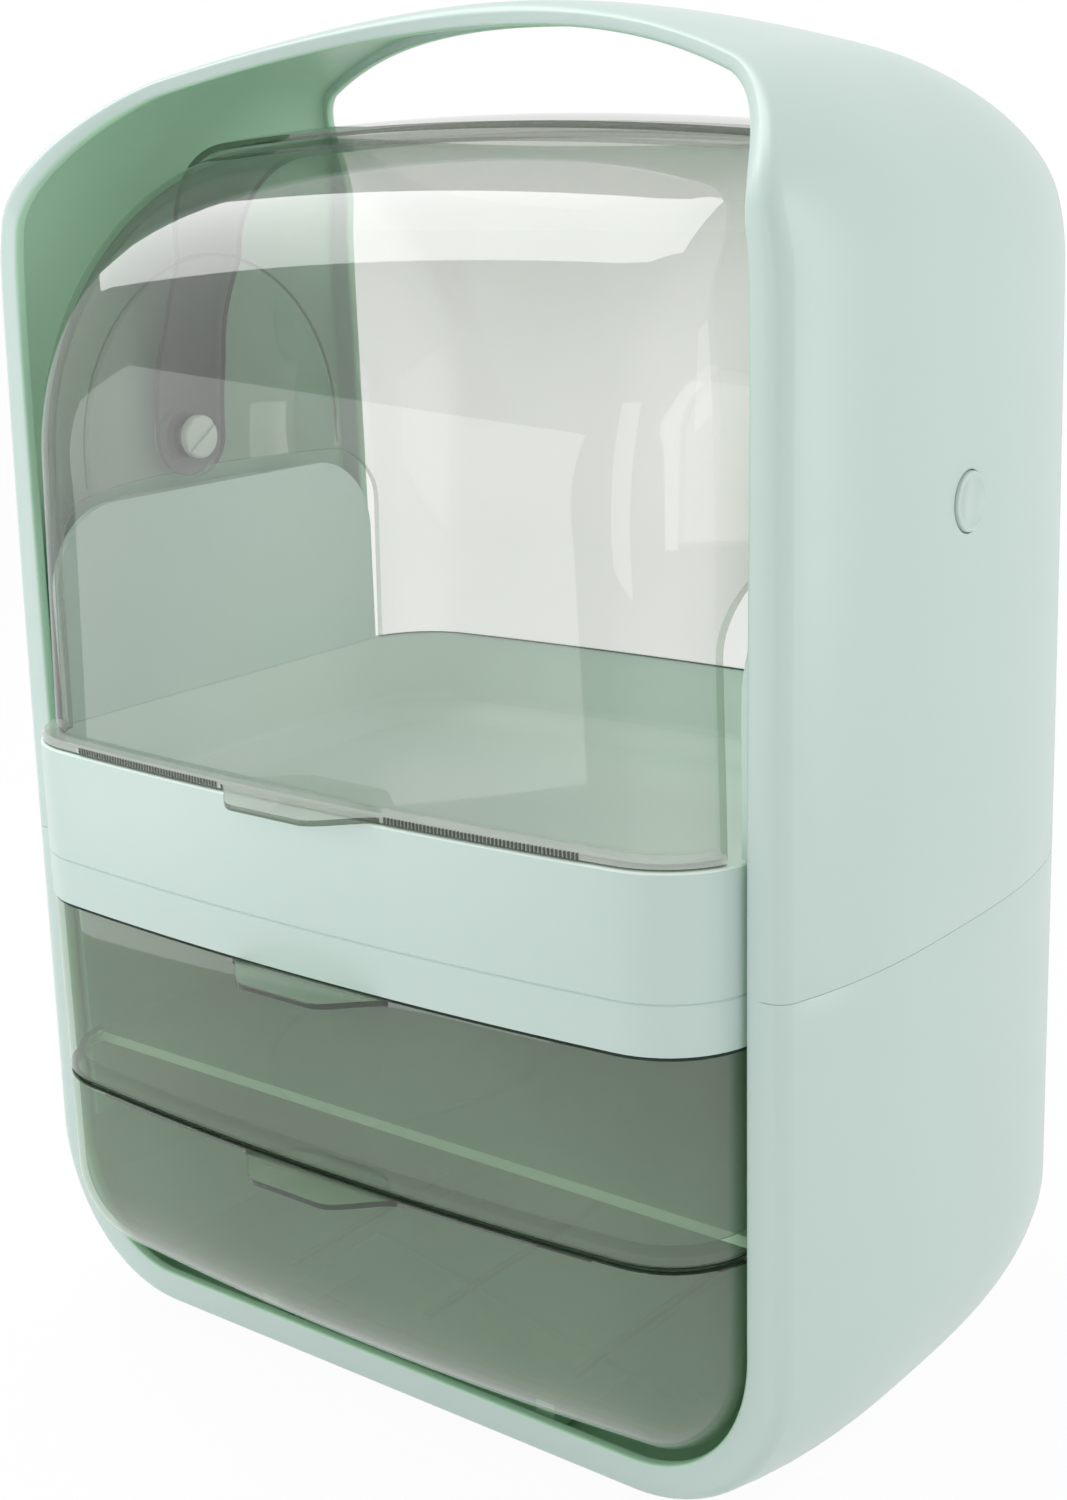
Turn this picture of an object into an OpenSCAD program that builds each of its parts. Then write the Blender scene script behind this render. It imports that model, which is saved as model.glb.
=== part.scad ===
// Dustproof makeup organizer: a loop-shaped body with a carrying arch, two
// drawers, an open tray under a see-through cover that swings up and back
// inside a fixed rear cover. Millimetres, +Z up, front towards -Y.

/* [Body] */
// Overall height, from the feet to the crown of the arch
body_h = 370; // [330:1:400]
// Overall width across the side walls
body_w = 270; // [262:1:290]
// Depth of the side walls, from the front rim to the rear rim
side_d = 140; // [134:1:150]
// Radius of the bottom corners
base_r = 53; // [46:1:56]
// Radius of the shoulders
shoulder_r = 56; // [48:1:60]
// Radius of the crown of the arch
crown_r = 328; // [300:4:400]
// How much further out the side walls stand at the foot than at the middle
side_taper = 1.2; // [0:0.2:2]
// How far the walls curve in from the middle of their depth to the rims
barrel = 8.7; // [7:0.1:9.5]
// Rounding of the rim's outer edge
edge_r = 3.7; // [3:0.1:5]
// Width of the rim's face beside the covers
rim_w = 4.6; // [4:0.1:5]
// Thickness of the rim's inward lip
lip_t = 3.5; // [2.5:0.5:5]
// Thickness of the body's wall
wall = 3; // [2:0.2:3.6]
// Half depth of the carrying arch at its crown
arch_half = 8; // [7:1:14]
// Height at which the rims start to lean in towards the arch
lean_z = 321; // [312:1:328]

/* [Levels] */
// Height of the seam between the upper and the lower shell
seam_z = 147; // [140:1:154]
// Height of the tray's rim, where the covers stand
rim_z = 178.5; // [174:0.5:186]
// Height of the gap between the two drawers
split_z = 80; // [74:1:84]
// Height of the pivots of the front cover
pivot_z = 252; // [248:1:254]
// Depth of the cabinet's front band, from the seam down to the upper drawer
band_h = 13; // [9:1:18]

/* [Bay] */
// Space beside the tray, drawers and covers, from the body's widest line
bay_gap = 18.5; // [18.5:0.5:22]
// How far the fronts stand proud of the rims at their middle
bow = 22; // [14:1:24]
// Corner radius of the tray and fronts, seen from above
corner_r = 26; // [22:1:30]
// Radius of the bowed fronts between their corners
bow_r = 1000; // [900:50:2000]
// Wall of the tray, the band and the rear panel
panel_t = 2.6; // [2:0.2:3.4]
// Height of the tray's floor above the seam
floor_t = 3.6; // [3:0.2:5]

/* [Covers] */
// How far the rear cover stands inside the tray's outline
rear_inset = 1.5; // [1:0.1:2.5]
// Wall of both covers
cover_t = 1.8; // [1.4:0.1:2.2]
// Clearance between the two covers where they overlap
nest_gap = 1.2; // [1.1:0.1:1.6]
// Radius of the covers' corners where they dome over the pivots
dome_r = 32; // [29:1:32]
// How far the rounded cheeks bulge out around the pivots
cheek_out = 13; // [10:0.5:13.5]
// Radius of those cheeks where they leave the flat side
cheek_r = 54; // [50:0.5:54]
// Radius of the ear around each pivot
ear_r = 12; // [10:0.5:14]
// How far the rear cover's edge leans forward at the top
edge_lean = 12; // [0:1:16]
// Half of the strip in which the covers overlap
overlap = 6; // [4:1:8]
// Height of the flange along the foot of the front cover
flange_h = 2.4; // [1.6:0.2:4]
// Radius of the pivot pins
pin_r = 4; // [3:0.25:5]
// Running clearance round the pins
pin_fit = 0.08; // [0.05:0.01:0.1]
// Radius of the pivot caps
cap_r = 7.2; // [6.5:0.1:8]

/* [Drawers] */
// Wall and floor of the drawers
drawer_t = 2; // [1.6:0.2:2.6]
// Gap between the drawers' backs and the rear panel
back_gap = 2.5; // [2.5:0.5:10]
// Clearance round a drawer
slide_gap = 0.6; // [0.4:0.1:1]
// Thickness of the shelf between the drawers
shelf_t = 3; // [2:0.2:4]
// Width of the finger tabs
tab_w = 56; // [44:1:64]
// How far the finger tabs stand out
tab_out = 11; // [8:1:14]
// How far the tabs' ends slant in
tab_slant = 10; // [4:1:16]
// Thickness of the finger tabs
tab_t = 2; // [1.6:0.2:3]

/* [Feet] */
// Radius of the rubber feet
foot_r = 9; // [7:0.5:11]
// How far the feet stand below the shell
foot_h = 1.2; // [1:0.1:2]

/* [Hidden] */
$fn = 96;
eps = 0.01;
mint = [0.75, 0.83, 0.81];
smoke = [0.45, 0.52, 0.46, 0.5];
clear = [0.8, 0.82, 0.78, 0.4];

half_w = body_w / 2;
half_d = side_d / 2;
bay_w = body_w - 2 * bay_gap;
drawer_back = half_d - lip_t - back_gap; // how far the drawers reach behind the middle
reach = half_d + bow;                    // middle of the bowed fronts
front_reach = reach + tab_out;           // tip of the finger tabs
body_y = (front_reach - reach) / 2;      // puts the origin under the middle of the whole
rim_in = barrel + edge_r;                // how far the rims stand in from the widest line
base_lift = 0.58;                        // share of that by which the underside rises
crown_drop = 0.26;                       // share of that by which the arch falls
slow_lean = 3.3;                         // how far the rims come in before the arch
rim_grow = 2.8;                          // how much wider their faces are at the foot
thin_z = lean_z - 40;                    // height above which those faces thin out

// ---- outline of the body, seen from the front ----
side_mid = (base_r + body_h - shoulder_r) / 2;
side_half = (body_h - shoulder_r - base_r) / 2;
tilt = atan(side_taper / side_half);     // lean of the side walls
base_c = [half_w + side_taper - base_r * cos(tilt), foot_h + base_r];
crown_cz = body_h - crown_r;
shoulder_x = half_w - side_taper - shoulder_r * cos(tilt);
shoulder_cz = crown_cz + sqrt(pow(crown_r - shoulder_r, 2) - pow(shoulder_x, 2));
shoulder_end = atan2(shoulder_cz - crown_cz, shoulder_x);

function side_x(z) = half_w - side_taper * (z - side_mid) / side_half;
// Stations [x, z, normal x, normal z] up the right half.
function base_stations() = concat(
  [for (i = [0:2]) [base_c[0] * i / 3, foot_h, 0, -1]],
  [for (i = [0:8]) let (a = -90 + (90 + tilt) * i / 8)
    [base_c[0] + base_r * cos(a), base_c[1] + base_r * sin(a), cos(a), sin(a)]]);
function side_stations(z0, z1, n) =
  [for (i = [0:n]) let (z = z0 + (z1 - z0) * i / n) [side_x(z), z, 1, 0]];
function crown_stations() = concat(
  [for (i = [0:9]) let (a = tilt + (shoulder_end - tilt) * i / 9)
    [shoulder_x + shoulder_r * cos(a), shoulder_cz + shoulder_r * sin(a), cos(a), sin(a)]],
  [for (i = [1:7]) let (a = shoulder_end + (90 - shoulder_end) * i / 7)
    [crown_r * cos(a), crown_cz + crown_r * sin(a), cos(a), sin(a)]]);
function mirrored(st) = [for (i = [len(st) - 1:-1:0]) [-st[i][0], st[i][1], -st[i][2], st[i][3]]];
function without_first(v) = [for (i = [1:len(v) - 1]) v[i]];

side_lo = base_c[1] + base_r * sin(tilt);
side_hi = shoulder_cz + shoulder_r * sin(tilt);
lower_half = concat(base_stations(), side_stations(side_lo + 12, seam_z, 4));
upper_half = concat(side_stations(seam_z, side_hi - 12, 5), crown_stations());
lower_path = concat(mirrored(lower_half), without_first(lower_half));
upper_path = concat(upper_half, without_first(mirrored(upper_half)));

// ---- section through the wall: [y, depth below the outline] ----
function rise(z, from) = min(max((z - from) / (body_h - from), 0), 1);
function rim_half(z) = arch_half
  + (half_d - arch_half - slow_lean * pow(rise(z, seam_z), 2)) * (1 - pow(rise(z, lean_z), 2));
// The rim's face widens downwards and thins over the crown.
function rim_width(st) = st[1] > thin_z ? rim_w * (1 - 0.35 * pow(st[3], 2))
  : rim_w + rim_grow * (thin_z - st[1]) / thin_z;
function share(st) = pow(st[2], 2) + (st[3] > 0 ? crown_drop : base_lift) * pow(st[3], 2);
function edge(u) = u >= edge_r ? 0 : edge_r - sqrt(pow(edge_r, 2) - pow(edge_r - u, 2));
function skin(y, h) = barrel * pow(abs(y) / h, 2.9) + edge(h - abs(y));
outer_at = [0, 0.08, 0.3, 0.6, 1];
function outer_y(h) = concat(
  [for (k = outer_at) -h + k * edge_r],
  [for (k = [-0.75:0.25:0.75]) k * (h - edge_r)],
  [for (i = [len(outer_at) - 1:-1:0]) h - outer_at[i] * edge_r]);
function inner_y(h) = [for (k = [1:-0.25:-1]) k * (h - lip_t)];
function section(st) = let (h = rim_half(st[1]), s = share(st), w = rim_width(st)) concat(
  [for (y = outer_y(h)) [y, s * skin(y, h)]],
  [[h, s * rim_in + w], [h - lip_t, s * rim_in + w]],
  [for (y = inner_y(h)) [y, s * skin(y, h) + wall]],
  [[-h + lip_t, s * rim_in + w], [-h, s * rim_in + w]]);
function ring(st) = [for (p = section(st)) [st[0] - p[1] * st[2], p[0], st[1] - p[1] * st[3]]];

// A closed solid through rings of equal length.
module loft(path) {
  rings = [for (st = path) ring(st)];
  k = len(rings[0]);
  n = len(rings);
  polyhedron(
    points = [for (r = rings) each r],
    faces = concat(
      [[for (j = [0:k - 1]) j]],
      [[for (j = [k - 1:-1:0]) (n - 1) * k + j]],
      [for (i = [0:n - 2], j = [0:k - 1]) let (m = (j + 1) % k)
        each [[i * k + j, (i + 1) * k + j, (i + 1) * k + m],
              [i * k + j, (i + 1) * k + m, i * k + m]]]),
    convexity = 8);
}

module at_body() { translate([0, body_y, 0]) children(); }
module both_sides() { for (s = [0, 1]) mirror([s, 0, 0]) children(); }
module along_x(x0, x1, r) { translate([x0, 0, 0]) rotate([0, 90, 0]) cylinder(r = r, h = x1 - x0); }

// ---- outline of the bay, seen from above ----
bay_half = bay_w / 2;
bow_steps = 4;
corner_steps = 8;
// A quarter of the outline: half width w, reach r, corner radius c.
function quarter(w, r, c) =
  let (p = asin((w - c) / (bow_r - c)), cy = (bow_r - c) * cos(p) - bow_r + r) concat(
    [for (i = [0:bow_steps]) let (a = p * i / bow_steps) [bow_r * sin(a), bow_r * cos(a) - bow_r + r]],
    [for (i = [1:corner_steps]) let (a = p + (90 - p) * i / corner_steps) [w - c + c * sin(a), cy + c * cos(a)]]);
function reversed(v) = [for (i = [len(v) - 1:-1:0]) v[i]];
// The whole outline from a quarter "q": between the corners the sides follow
// the points of "side", from front to rear.
function outline(q, side) = let (q1 = without_first(q)) concat(
  [for (p = q) [p[0], -p[1]]],
  side,
  [for (p = reversed(q)) [p[0], p[1]]],
  [for (p = q1) [-p[0], p[1]]],
  [for (p = reversed(side)) [-p[0], p[1]]],
  [for (p = reversed(q1)) [-p[0], -p[1]]]);
module plan(inset = 0) { polygon(outline(quarter(bay_half - inset, reach - inset, corner_r - inset), [])); }
module plan_ring(z0, z1, inset, t) {
  translate([0, 0, z0]) linear_extrude(z1 - z0) difference() {
    plan(inset);
    plan(inset + t);
  }
}
module plan_block(z0, z1, inset) { translate([0, 0, z0]) linear_extrude(z1 - z0) plan(inset); }

module side_extrude(x0, x1) {
  translate([x0, 0, 0]) rotate([90, 0, 90]) linear_extrude(x1 - x0) children();
}
module front_extrude(y0, y1) {
  translate([0, y1, 0]) rotate([90, 0, 0]) linear_extrude(y1 - y0) children();
}

// A closed solid through level slices [height, quarter, side].
module slices(levels) {
  n = len(levels);
  rings = [for (v = levels) [for (p = outline(v[1], v[2])) [p[0], p[1], v[0]]]];
  k = len(rings[0]);
  polyhedron(
    points = [for (r = rings) each r],
    faces = concat(
      [[for (j = [0:k - 1]) j]],
      [[for (j = [k - 1:-1:0]) (n - 1) * k + j]],
      [for (i = [0:n - 2], j = [0:k - 1]) let (m = (j + 1) % k)
        each [[i * k + j, (i + 1) * k + j, (i + 1) * k + m],
              [i * k + j, (i + 1) * k + m, i * k + m]]]),
    convexity = 8);
}

// The bay's lower end, with its lower edges rounded to clear the shell's corners.
under_z = foot_h + base_lift * rim_in + rim_w + rim_grow + 1;     // underside of the lowest drawer
tub_r = 35;
module tub(inset, top) {
  r = tub_r - inset;
  slices(concat(
    [for (i = [1:8]) let (a = 10 * i, d = inset + r * (1 - sin(a)))
      [under_z + inset + r * (1 - cos(a)), quarter(bay_half - d, reach - d, max(corner_r - d, 4)), []]],
    [for (z = [under_z + tub_r, top]) [z, quarter(bay_half - inset, reach - inset, corner_r - inset), []]]));
}

// ---- shells ----
boss_r = 9;
cheek_x = bay_half - rear_inset + cheek_out;     // outer face of the rear cover's cheek
cap_seat_x = side_x(pivot_z) - 1.4;
boss_x = side_x(pivot_z) - wall - 0.8;
module pivot_bores() {
  translate([0, 0, pivot_z]) {
    along_x(-half_w - 1, half_w + 1, pin_r + pin_fit);
    both_sides() along_x(cap_seat_x, half_w + 5, cap_r + 0.4);
  }
}
module upper_shell() {
  color(mint) at_body() difference() {
    union() {
      loft(upper_path);
      translate([0, 0, pivot_z]) both_sides() along_x(boss_x, cap_seat_x + eps, boss_r);
    }
    pivot_bores();
  }
}

foot_x = half_w - 57;
foot_y = half_d - 26;
foot_pocket = 1.2;
module lower_shell() {
  color(mint) at_body() difference() {
    loft(lower_path);
    for (x = [-foot_x, foot_x], y = [-foot_y, foot_y])
      translate([x, y, 0]) cylinder(r = foot_r + 0.2, h = foot_pad_z + foot_pocket);
  }
}

// ---- tray and cabinet ----
tray_floor_z = seam_z + floor_t;
ledge_w = 11;
ledge_h = 3.4;
module vanity_tray() {
  color(mint) at_body() difference() {
    plan_block(seam_z, rim_z, 0);
    plan_block(tray_floor_z + ledge_h, rim_z + 1, panel_t);
    plan_block(tray_floor_z, rim_z, panel_t + ledge_w);
  }
}

deck_z = seam_z - band_h;                        // lower edge of the front band
deck_t = 3;
screw_y = half_d - 12;
screw_x = bay_half - 8;
module deck_screw_places() {
  for (x = [-screw_x, screw_x], y = [-screw_y, screw_y])
    translate([x, y, seam_z - deck_t]) children();
}
module cabinet_deck() {
  color(mint) at_body() difference() {
    plan_block(deck_z, seam_z, 0);
    plan_block(deck_z - 1, seam_z - deck_t, panel_t);
    deck_screw_places() translate([0, 0, -1]) cylinder(r = 1.6, h = deck_t + 2);
  }
}
module deck_screws() {
  color([0.6, 0.6, 0.6]) at_body() deck_screw_places() {
    translate([0, 0, -2]) cylinder(r = 3, h = 2);
    cylinder(r = 1.5, h = deck_t - 0.2);
  }
}

module rear_panel() {
  color(mint) at_body() difference() {
    intersection() {
      tub(0, deck_z);
      translate([-bay_half, half_d - lip_t, 0]) cube([bay_w, reach, deck_z]);
    }
    tub(panel_t, deck_z + 1);
  }
}

guide_x = bay_half + 0.2;
guide_t = 2.2;
guide_y = half_d - lip_t - 2;
guide_drop = 24;
rib_gap = 0.4;
module guide() {
  translate([guide_x, -guide_y, split_z - guide_drop])
    cube([guide_t, 2 * guide_y, deck_z - split_z + guide_drop]);
  for (y = [-24, 24]) translate([guide_x + guide_t - eps, y - 1.5, deck_z - 14])
    cube([side_x(deck_z) - skin(24, half_d) - wall - rib_gap - guide_x - guide_t, 3, 12]);
}
module right_guide() { color(mint) at_body() guide(); }
module left_guide() { color(mint) at_body() mirror([1, 0, 0]) guide(); }

shelf_z = split_z - 0.5;
shelf_top = shelf_z + shelf_t;
shelf_y = half_d - lip_t - 4.5;
module mid_shelf() {
  color(mint) at_body() translate([-guide_x, -shelf_y, shelf_z]) cube([2 * guide_x, 2 * shelf_y, shelf_t]);
}

floor_rail_y = half_d - lip_t - 4;
floor_top = foot_h + base_lift * skin(floor_rail_y, half_d) + wall + 0.2;
rail_x = half_w - 85;
rail_w = 6;
module floor_rails() {
  color(mint) at_body() for (x = [-rail_x, rail_x]) translate([x - rail_w / 2, -floor_rail_y, floor_top])
    cube([rail_w, 2 * floor_rail_y, under_z - floor_top]);
}

// Side panels fill the openings in the covers' cheeks.
panel_top = pivot_z - ear_r - 1;
panel_y = half_d - 4;
panel_r = 24;
panel_x = bay_half - panel_t;
panel_in = 0.4;                          // how far a side panel stands inside the tray's wall
panel_out = 1.8;                         // and outside that face
tie_w = 60;                              // width of the flange that ties it to the wall
tie_gap = 2.4;
module side_panel() {
  intersection() {
    translate([panel_x - panel_in, -panel_y, rim_z])
      cube([panel_in + panel_out, 2 * panel_y, panel_top - rim_z]);
    side_extrude(0, half_w) {
      translate([-panel_y, rim_z]) square([2 * panel_y, panel_top - rim_z - panel_r]);
      translate([-panel_y + panel_r, rim_z]) square([2 * (panel_y - panel_r), panel_top - rim_z]);
      for (s = [-1, 1]) translate([s * (panel_y - panel_r), panel_top - panel_r]) circle(panel_r);
    }
  }
  translate([panel_x + panel_out - eps, -tie_w / 2, panel_top - 4])
    cube([side_x(panel_top) - wall - tie_gap - panel_x - panel_out, tie_w, 2]);
}
module right_side_panel() { color(mint) at_body() side_panel(); }
module left_side_panel() { color(mint) at_body() mirror([1, 0, 0]) side_panel(); }

// ---- drawers ----
// A finger tab: a lip with slanting ends under the top edge of a front.
module tab(z) {
  translate([0, 0, z - tab_t]) linear_extrude(tab_t)
    polygon([[-tab_w / 2, -reach + 1.5], [-tab_w / 2 + tab_slant, -front_reach],
      [tab_w / 2 - tab_slant, -front_reach], [tab_w / 2, -reach + 1.5]]);
}
module drawer_cut(back) { translate([-body_w, -body_w, 0]) cube([2 * body_w, body_w + back, body_h]); }

upper_top = deck_z - slide_gap;
upper_z = split_z + slide_gap;
upper_floor = shelf_top + 0.3;
hang_y = shelf_y + 2;                            // ahead of this the fronts hang past the shelf
module upper_drawer() {
  color(smoke) at_body() {
    difference() {
      intersection() {
        plan_block(upper_z, upper_top, slide_gap);
        drawer_cut(drawer_back);
      }
      intersection() {
        plan_block(upper_floor + drawer_t, upper_top + 1, slide_gap + drawer_t);
        drawer_cut(drawer_back - drawer_t);
      }
      plan_block(upper_z - 1, upper_floor, slide_gap + drawer_t);
      translate([-bay_half, -hang_y, 0]) cube([bay_w, 3 * reach, upper_floor]);
    }
    tab(upper_top);
  }
}

lower_top = split_z - slide_gap;
side_top = shelf_z - slide_gap;                  // the sides pass under the shelf
module lower_drawer() {
  color(smoke) at_body() {
    difference() {
      intersection() {
        tub(slide_gap, lower_top);
        drawer_cut(drawer_back);
      }
      intersection() {
        tub(slide_gap + drawer_t, lower_top + 1);
        drawer_cut(drawer_back - drawer_t);
      }
      translate([-bay_half, -hang_y, side_top]) cube([bay_w, 3 * reach, split_z]);
    }
    tab(lower_top);
  }
}

// ---- covers ----
front_inset = rear_inset + cover_t + nest_gap;
ball_r = (pow(cheek_r, 2) + pow(cheek_out, 2)) / (2 * cheek_out);
ball_x = cheek_x - ball_r;
crest_z = pivot_z + reach - rear_inset;
// The cheek's side points in a slice "z" above the pivots: a ball drawn in by
// "inset" pushes the flat side at half width w outwards.
cheek_at = [-1, -0.85, -0.6, -0.3, 0, 0.3, 0.6, 0.85, 1];
function cheek_points(w, z, inset) =
  let (b = ball_r - inset + rear_inset, v = pow(b, 2) - pow(bay_half - inset - ball_x, 2) - pow(z, 2),
       y = v > 4 ? sqrt(v) : 0.3)
  [for (k = cheek_at) [v > 4 ? max(w, ball_x + sqrt(pow(b, 2) - pow(z, 2) - pow(k * y, 2))) : w, k * y]];

// How far a cover reaches from the line of the pivots at x: its profile, which
// is turned about that line to make the dome.
function profile(x, w, r, c) =
  let (p = asin((w - c) / (bow_r - c)))
    x <= bow_r * sin(p) ? sqrt(pow(bow_r, 2) - pow(x, 2)) - bow_r + r
      : (bow_r - c) * cos(p) - bow_r + r + sqrt(max(pow(c, 2) - pow(x - w + c, 2), 0));
// The half width at which that profile has come in to the radius z.
function profile_x(z, w, r, c) =
  let (p = asin((w - c) / (bow_r - c)), cy = (bow_r - c) * cos(p) - bow_r + r)
    z <= cy ? w
      : z < bow_r * cos(p) - bow_r + r ? w - c + sqrt(pow(c, 2) - pow(z - cy, 2))
      : sqrt(max(pow(bow_r, 2) - pow(z + bow_r - r, 2), 0));

// Solid outline of a cover: the bay's plan carried up to the pivots, then
// domed over them, with a round cheek bulging out on each side.
dome_steps = 12;
dome_end = 84;
function cover_level(z, inset) =
  let (w = bay_half - inset, r = reach - inset, c = dome_r - inset,
       low = corner_r - inset + (dome_r - corner_r) * (z + pivot_z - rim_z) / (pivot_z - rim_z),
       q = quarter(w, r, z < 0 ? low : c), x = z < 0 ? w : profile_x(z, w, r, c) / w)
  [pivot_z + z,
    z <= 0 ? q : [for (p = q) let (u = p[0] * x) [u, sqrt(max(pow(profile(u, w, r, c), 2) - pow(z, 2), 0.1))]],
    cheek_points(w * (z < 0 ? 1 : x), z, inset)];
module cover_solid(inset) {
  slices(concat(
    [for (z = [rim_z - pivot_z, -ear_r - 2, -ear_r / 2]) cover_level(z, inset)],
    [for (i = [0:dome_steps]) cover_level((reach - inset) * sin(dome_end * i / dome_steps), inset)]));
}
// The part of that outline which belongs to the rear cover, seen from the side.
cut_y = panel_y + 2;
cut_r = 18;
cut_z = pivot_z - ear_r + 2.5;
bend_up = 46;                            // where the edge leans forward, above the pivots
neck_up = 24;                            // where it meets the ear
module cover_keep() {
  top = crest_z + 1;
  polygon(concat(
    [[-overlap - edge_lean, top], [-overlap, pivot_z + bend_up], [-ear_r, pivot_z + neck_up]],
    [for (a = [180:15:345]) if (ear_r * cos(a) < 0 || ear_r * sin(a) < cut_z - pivot_z)
      [ear_r * cos(a), pivot_z + ear_r * sin(a)]],
    [for (a = [90:-15:0]) [cut_y - cut_r + cut_r * cos(a), cut_z - cut_r + cut_r * sin(a)]],
    [[cut_y, rim_z - 1], [reach + 1, rim_z - 1], [reach + 1, top]]));
}
module cover_shell(inset) {
  difference() {
    intersection() {
      cover_solid(inset);
      side_extrude(-half_w, half_w) cover_keep();
    }
    cover_solid(inset + cover_t);
    translate([0, 0, pivot_z]) along_x(-half_w, half_w, pin_r + pin_fit);
  }
}
module rear_cover() { color(clear) at_body() cover_shell(rear_inset); }
flange_z = rim_z + 0.3;
module front_cover() {
  color(clear) at_body() {
    mirror([0, 1, 0]) cover_shell(front_inset);
    intersection() {
      plan_ring(flange_z, flange_z + flange_h, slide_gap, front_inset + cover_t / 2 - slide_gap);
      translate([-bay_half, -reach, 0]) cube([bay_w, reach - half_d - 0.5, body_h]);
    }
    tab(flange_z + tab_t);
  }
}

// ---- pivots ----
head_t = 2.6;
pin_in = cheek_x - 2 * cover_t - nest_gap - head_t - 0.7;
module pivot_pin() {
  translate([0, 0, pivot_z]) {
    along_x(pin_in, pin_in + head_t, 6.5);
    along_x(pin_in + head_t - eps, cap_seat_x, pin_r);
  }
}
module right_pivot_pin() { color("white") at_body() pivot_pin(); }
module left_pivot_pin() { color("white") at_body() mirror([1, 0, 0]) pivot_pin(); }
module pivot_cap() { translate([0, 0, pivot_z]) along_x(cap_seat_x, side_x(pivot_z) + 0.9, cap_r); }
module right_pivot_cap() { color(mint) at_body() pivot_cap(); }
module left_pivot_cap() { color(mint) at_body() mirror([1, 0, 0]) pivot_cap(); }
bush_gap = 0.3;
module pivot_bush() {
  translate([0, 0, pivot_z]) difference() {
    along_x(cheek_x + bush_gap, boss_x, 7);
    along_x(cheek_x, boss_x + 1, pin_r + pin_fit);
  }
}
module right_pivot_bush() { color("white") at_body() pivot_bush(); }
module left_pivot_bush() { color("white") at_body() mirror([1, 0, 0]) pivot_bush(); }

// ---- feet ----
foot_pad_z = foot_h + base_lift * skin(foot_y - foot_r, half_d);
module foot(x, y) {
  color([0.85, 0.88, 0.86]) at_body() translate([x, y, 0]) cylinder(r = foot_r, h = foot_pad_z + foot_pocket);
}
module front_left_foot() { foot(-foot_x, -foot_y); }
module front_right_foot() { foot(foot_x, -foot_y); }
module rear_left_foot() { foot(-foot_x, foot_y); }
module rear_right_foot() { foot(foot_x, foot_y); }

upper_shell();
lower_shell();
vanity_tray();
left_side_panel();
right_side_panel();
cabinet_deck();
rear_panel();
mid_shelf();
left_guide();
right_guide();
floor_rails();
upper_drawer();
lower_drawer();
front_cover();
rear_cover();
left_pivot_pin();
right_pivot_pin();
left_pivot_cap();
right_pivot_cap();
left_pivot_bush();
right_pivot_bush();
deck_screws();
front_left_foot();
front_right_foot();
rear_left_foot();
rear_right_foot();
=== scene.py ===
# %% [markdown]
# # A dustproof makeup organizer
# The organizer is a loop of mint plastic with a carrying arch. It holds two
# smoked drawers and an open tray, and a clear cover swings up and back inside
# a fixed clear cover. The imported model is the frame: it gives the sizes, the
# bodies that move and a simple solid for every part. Each cell below dresses
# one part, and every new piece is told which body it rides on.

# %% Load the frame
from math import asin, atan, atan2, cos, pi, radians, sin, sqrt

import bmesh
import bpy
from mathutils import Matrix, Vector


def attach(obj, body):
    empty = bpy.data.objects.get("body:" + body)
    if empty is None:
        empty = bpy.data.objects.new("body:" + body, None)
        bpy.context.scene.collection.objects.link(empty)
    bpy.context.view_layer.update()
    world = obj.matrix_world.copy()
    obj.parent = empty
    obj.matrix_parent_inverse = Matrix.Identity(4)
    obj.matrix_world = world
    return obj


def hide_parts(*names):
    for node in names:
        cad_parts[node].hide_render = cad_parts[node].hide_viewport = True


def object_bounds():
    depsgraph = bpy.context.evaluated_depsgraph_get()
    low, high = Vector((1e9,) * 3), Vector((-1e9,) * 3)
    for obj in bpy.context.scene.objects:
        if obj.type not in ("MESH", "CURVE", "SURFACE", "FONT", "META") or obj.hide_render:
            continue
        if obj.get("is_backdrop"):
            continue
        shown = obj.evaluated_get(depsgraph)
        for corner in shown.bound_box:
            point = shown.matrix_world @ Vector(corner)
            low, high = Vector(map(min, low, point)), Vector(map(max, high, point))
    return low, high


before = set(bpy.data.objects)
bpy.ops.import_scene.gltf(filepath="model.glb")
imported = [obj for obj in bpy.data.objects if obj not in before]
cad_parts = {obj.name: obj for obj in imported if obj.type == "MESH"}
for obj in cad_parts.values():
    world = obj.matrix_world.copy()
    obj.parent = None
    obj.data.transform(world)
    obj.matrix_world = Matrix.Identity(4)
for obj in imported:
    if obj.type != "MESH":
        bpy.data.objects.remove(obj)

scene = bpy.context.scene
cad_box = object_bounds()
print("Model box:", [[round(c, 4) for c in corner] for corner in cad_box])

# %% [markdown]
# ## The camera
# The view is from the front right and a little above. The camera could be
# aimed with a constraint, but its axes are worked out from three angles
# instead, so that the view can be read off the numbers. The lens is given as
# a focal length in pixels of an image 1500 pixels high, on a 36 mm sensor.

# %% Camera
SENSOR, IMAGE_H, FOCAL_PX = 36, 1500, 2245.0

azimuth, elevation, roll = radians(38.077), radians(15.374), radians(-1.555)
look = Vector((-sin(azimuth) * cos(elevation), cos(azimuth) * cos(elevation), -sin(elevation)))
level = Vector((cos(azimuth), sin(azimuth), 0))
above = level.cross(look)
cam_x = cos(roll) * level + sin(roll) * above
cam_y = -sin(roll) * level + cos(roll) * above

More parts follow.
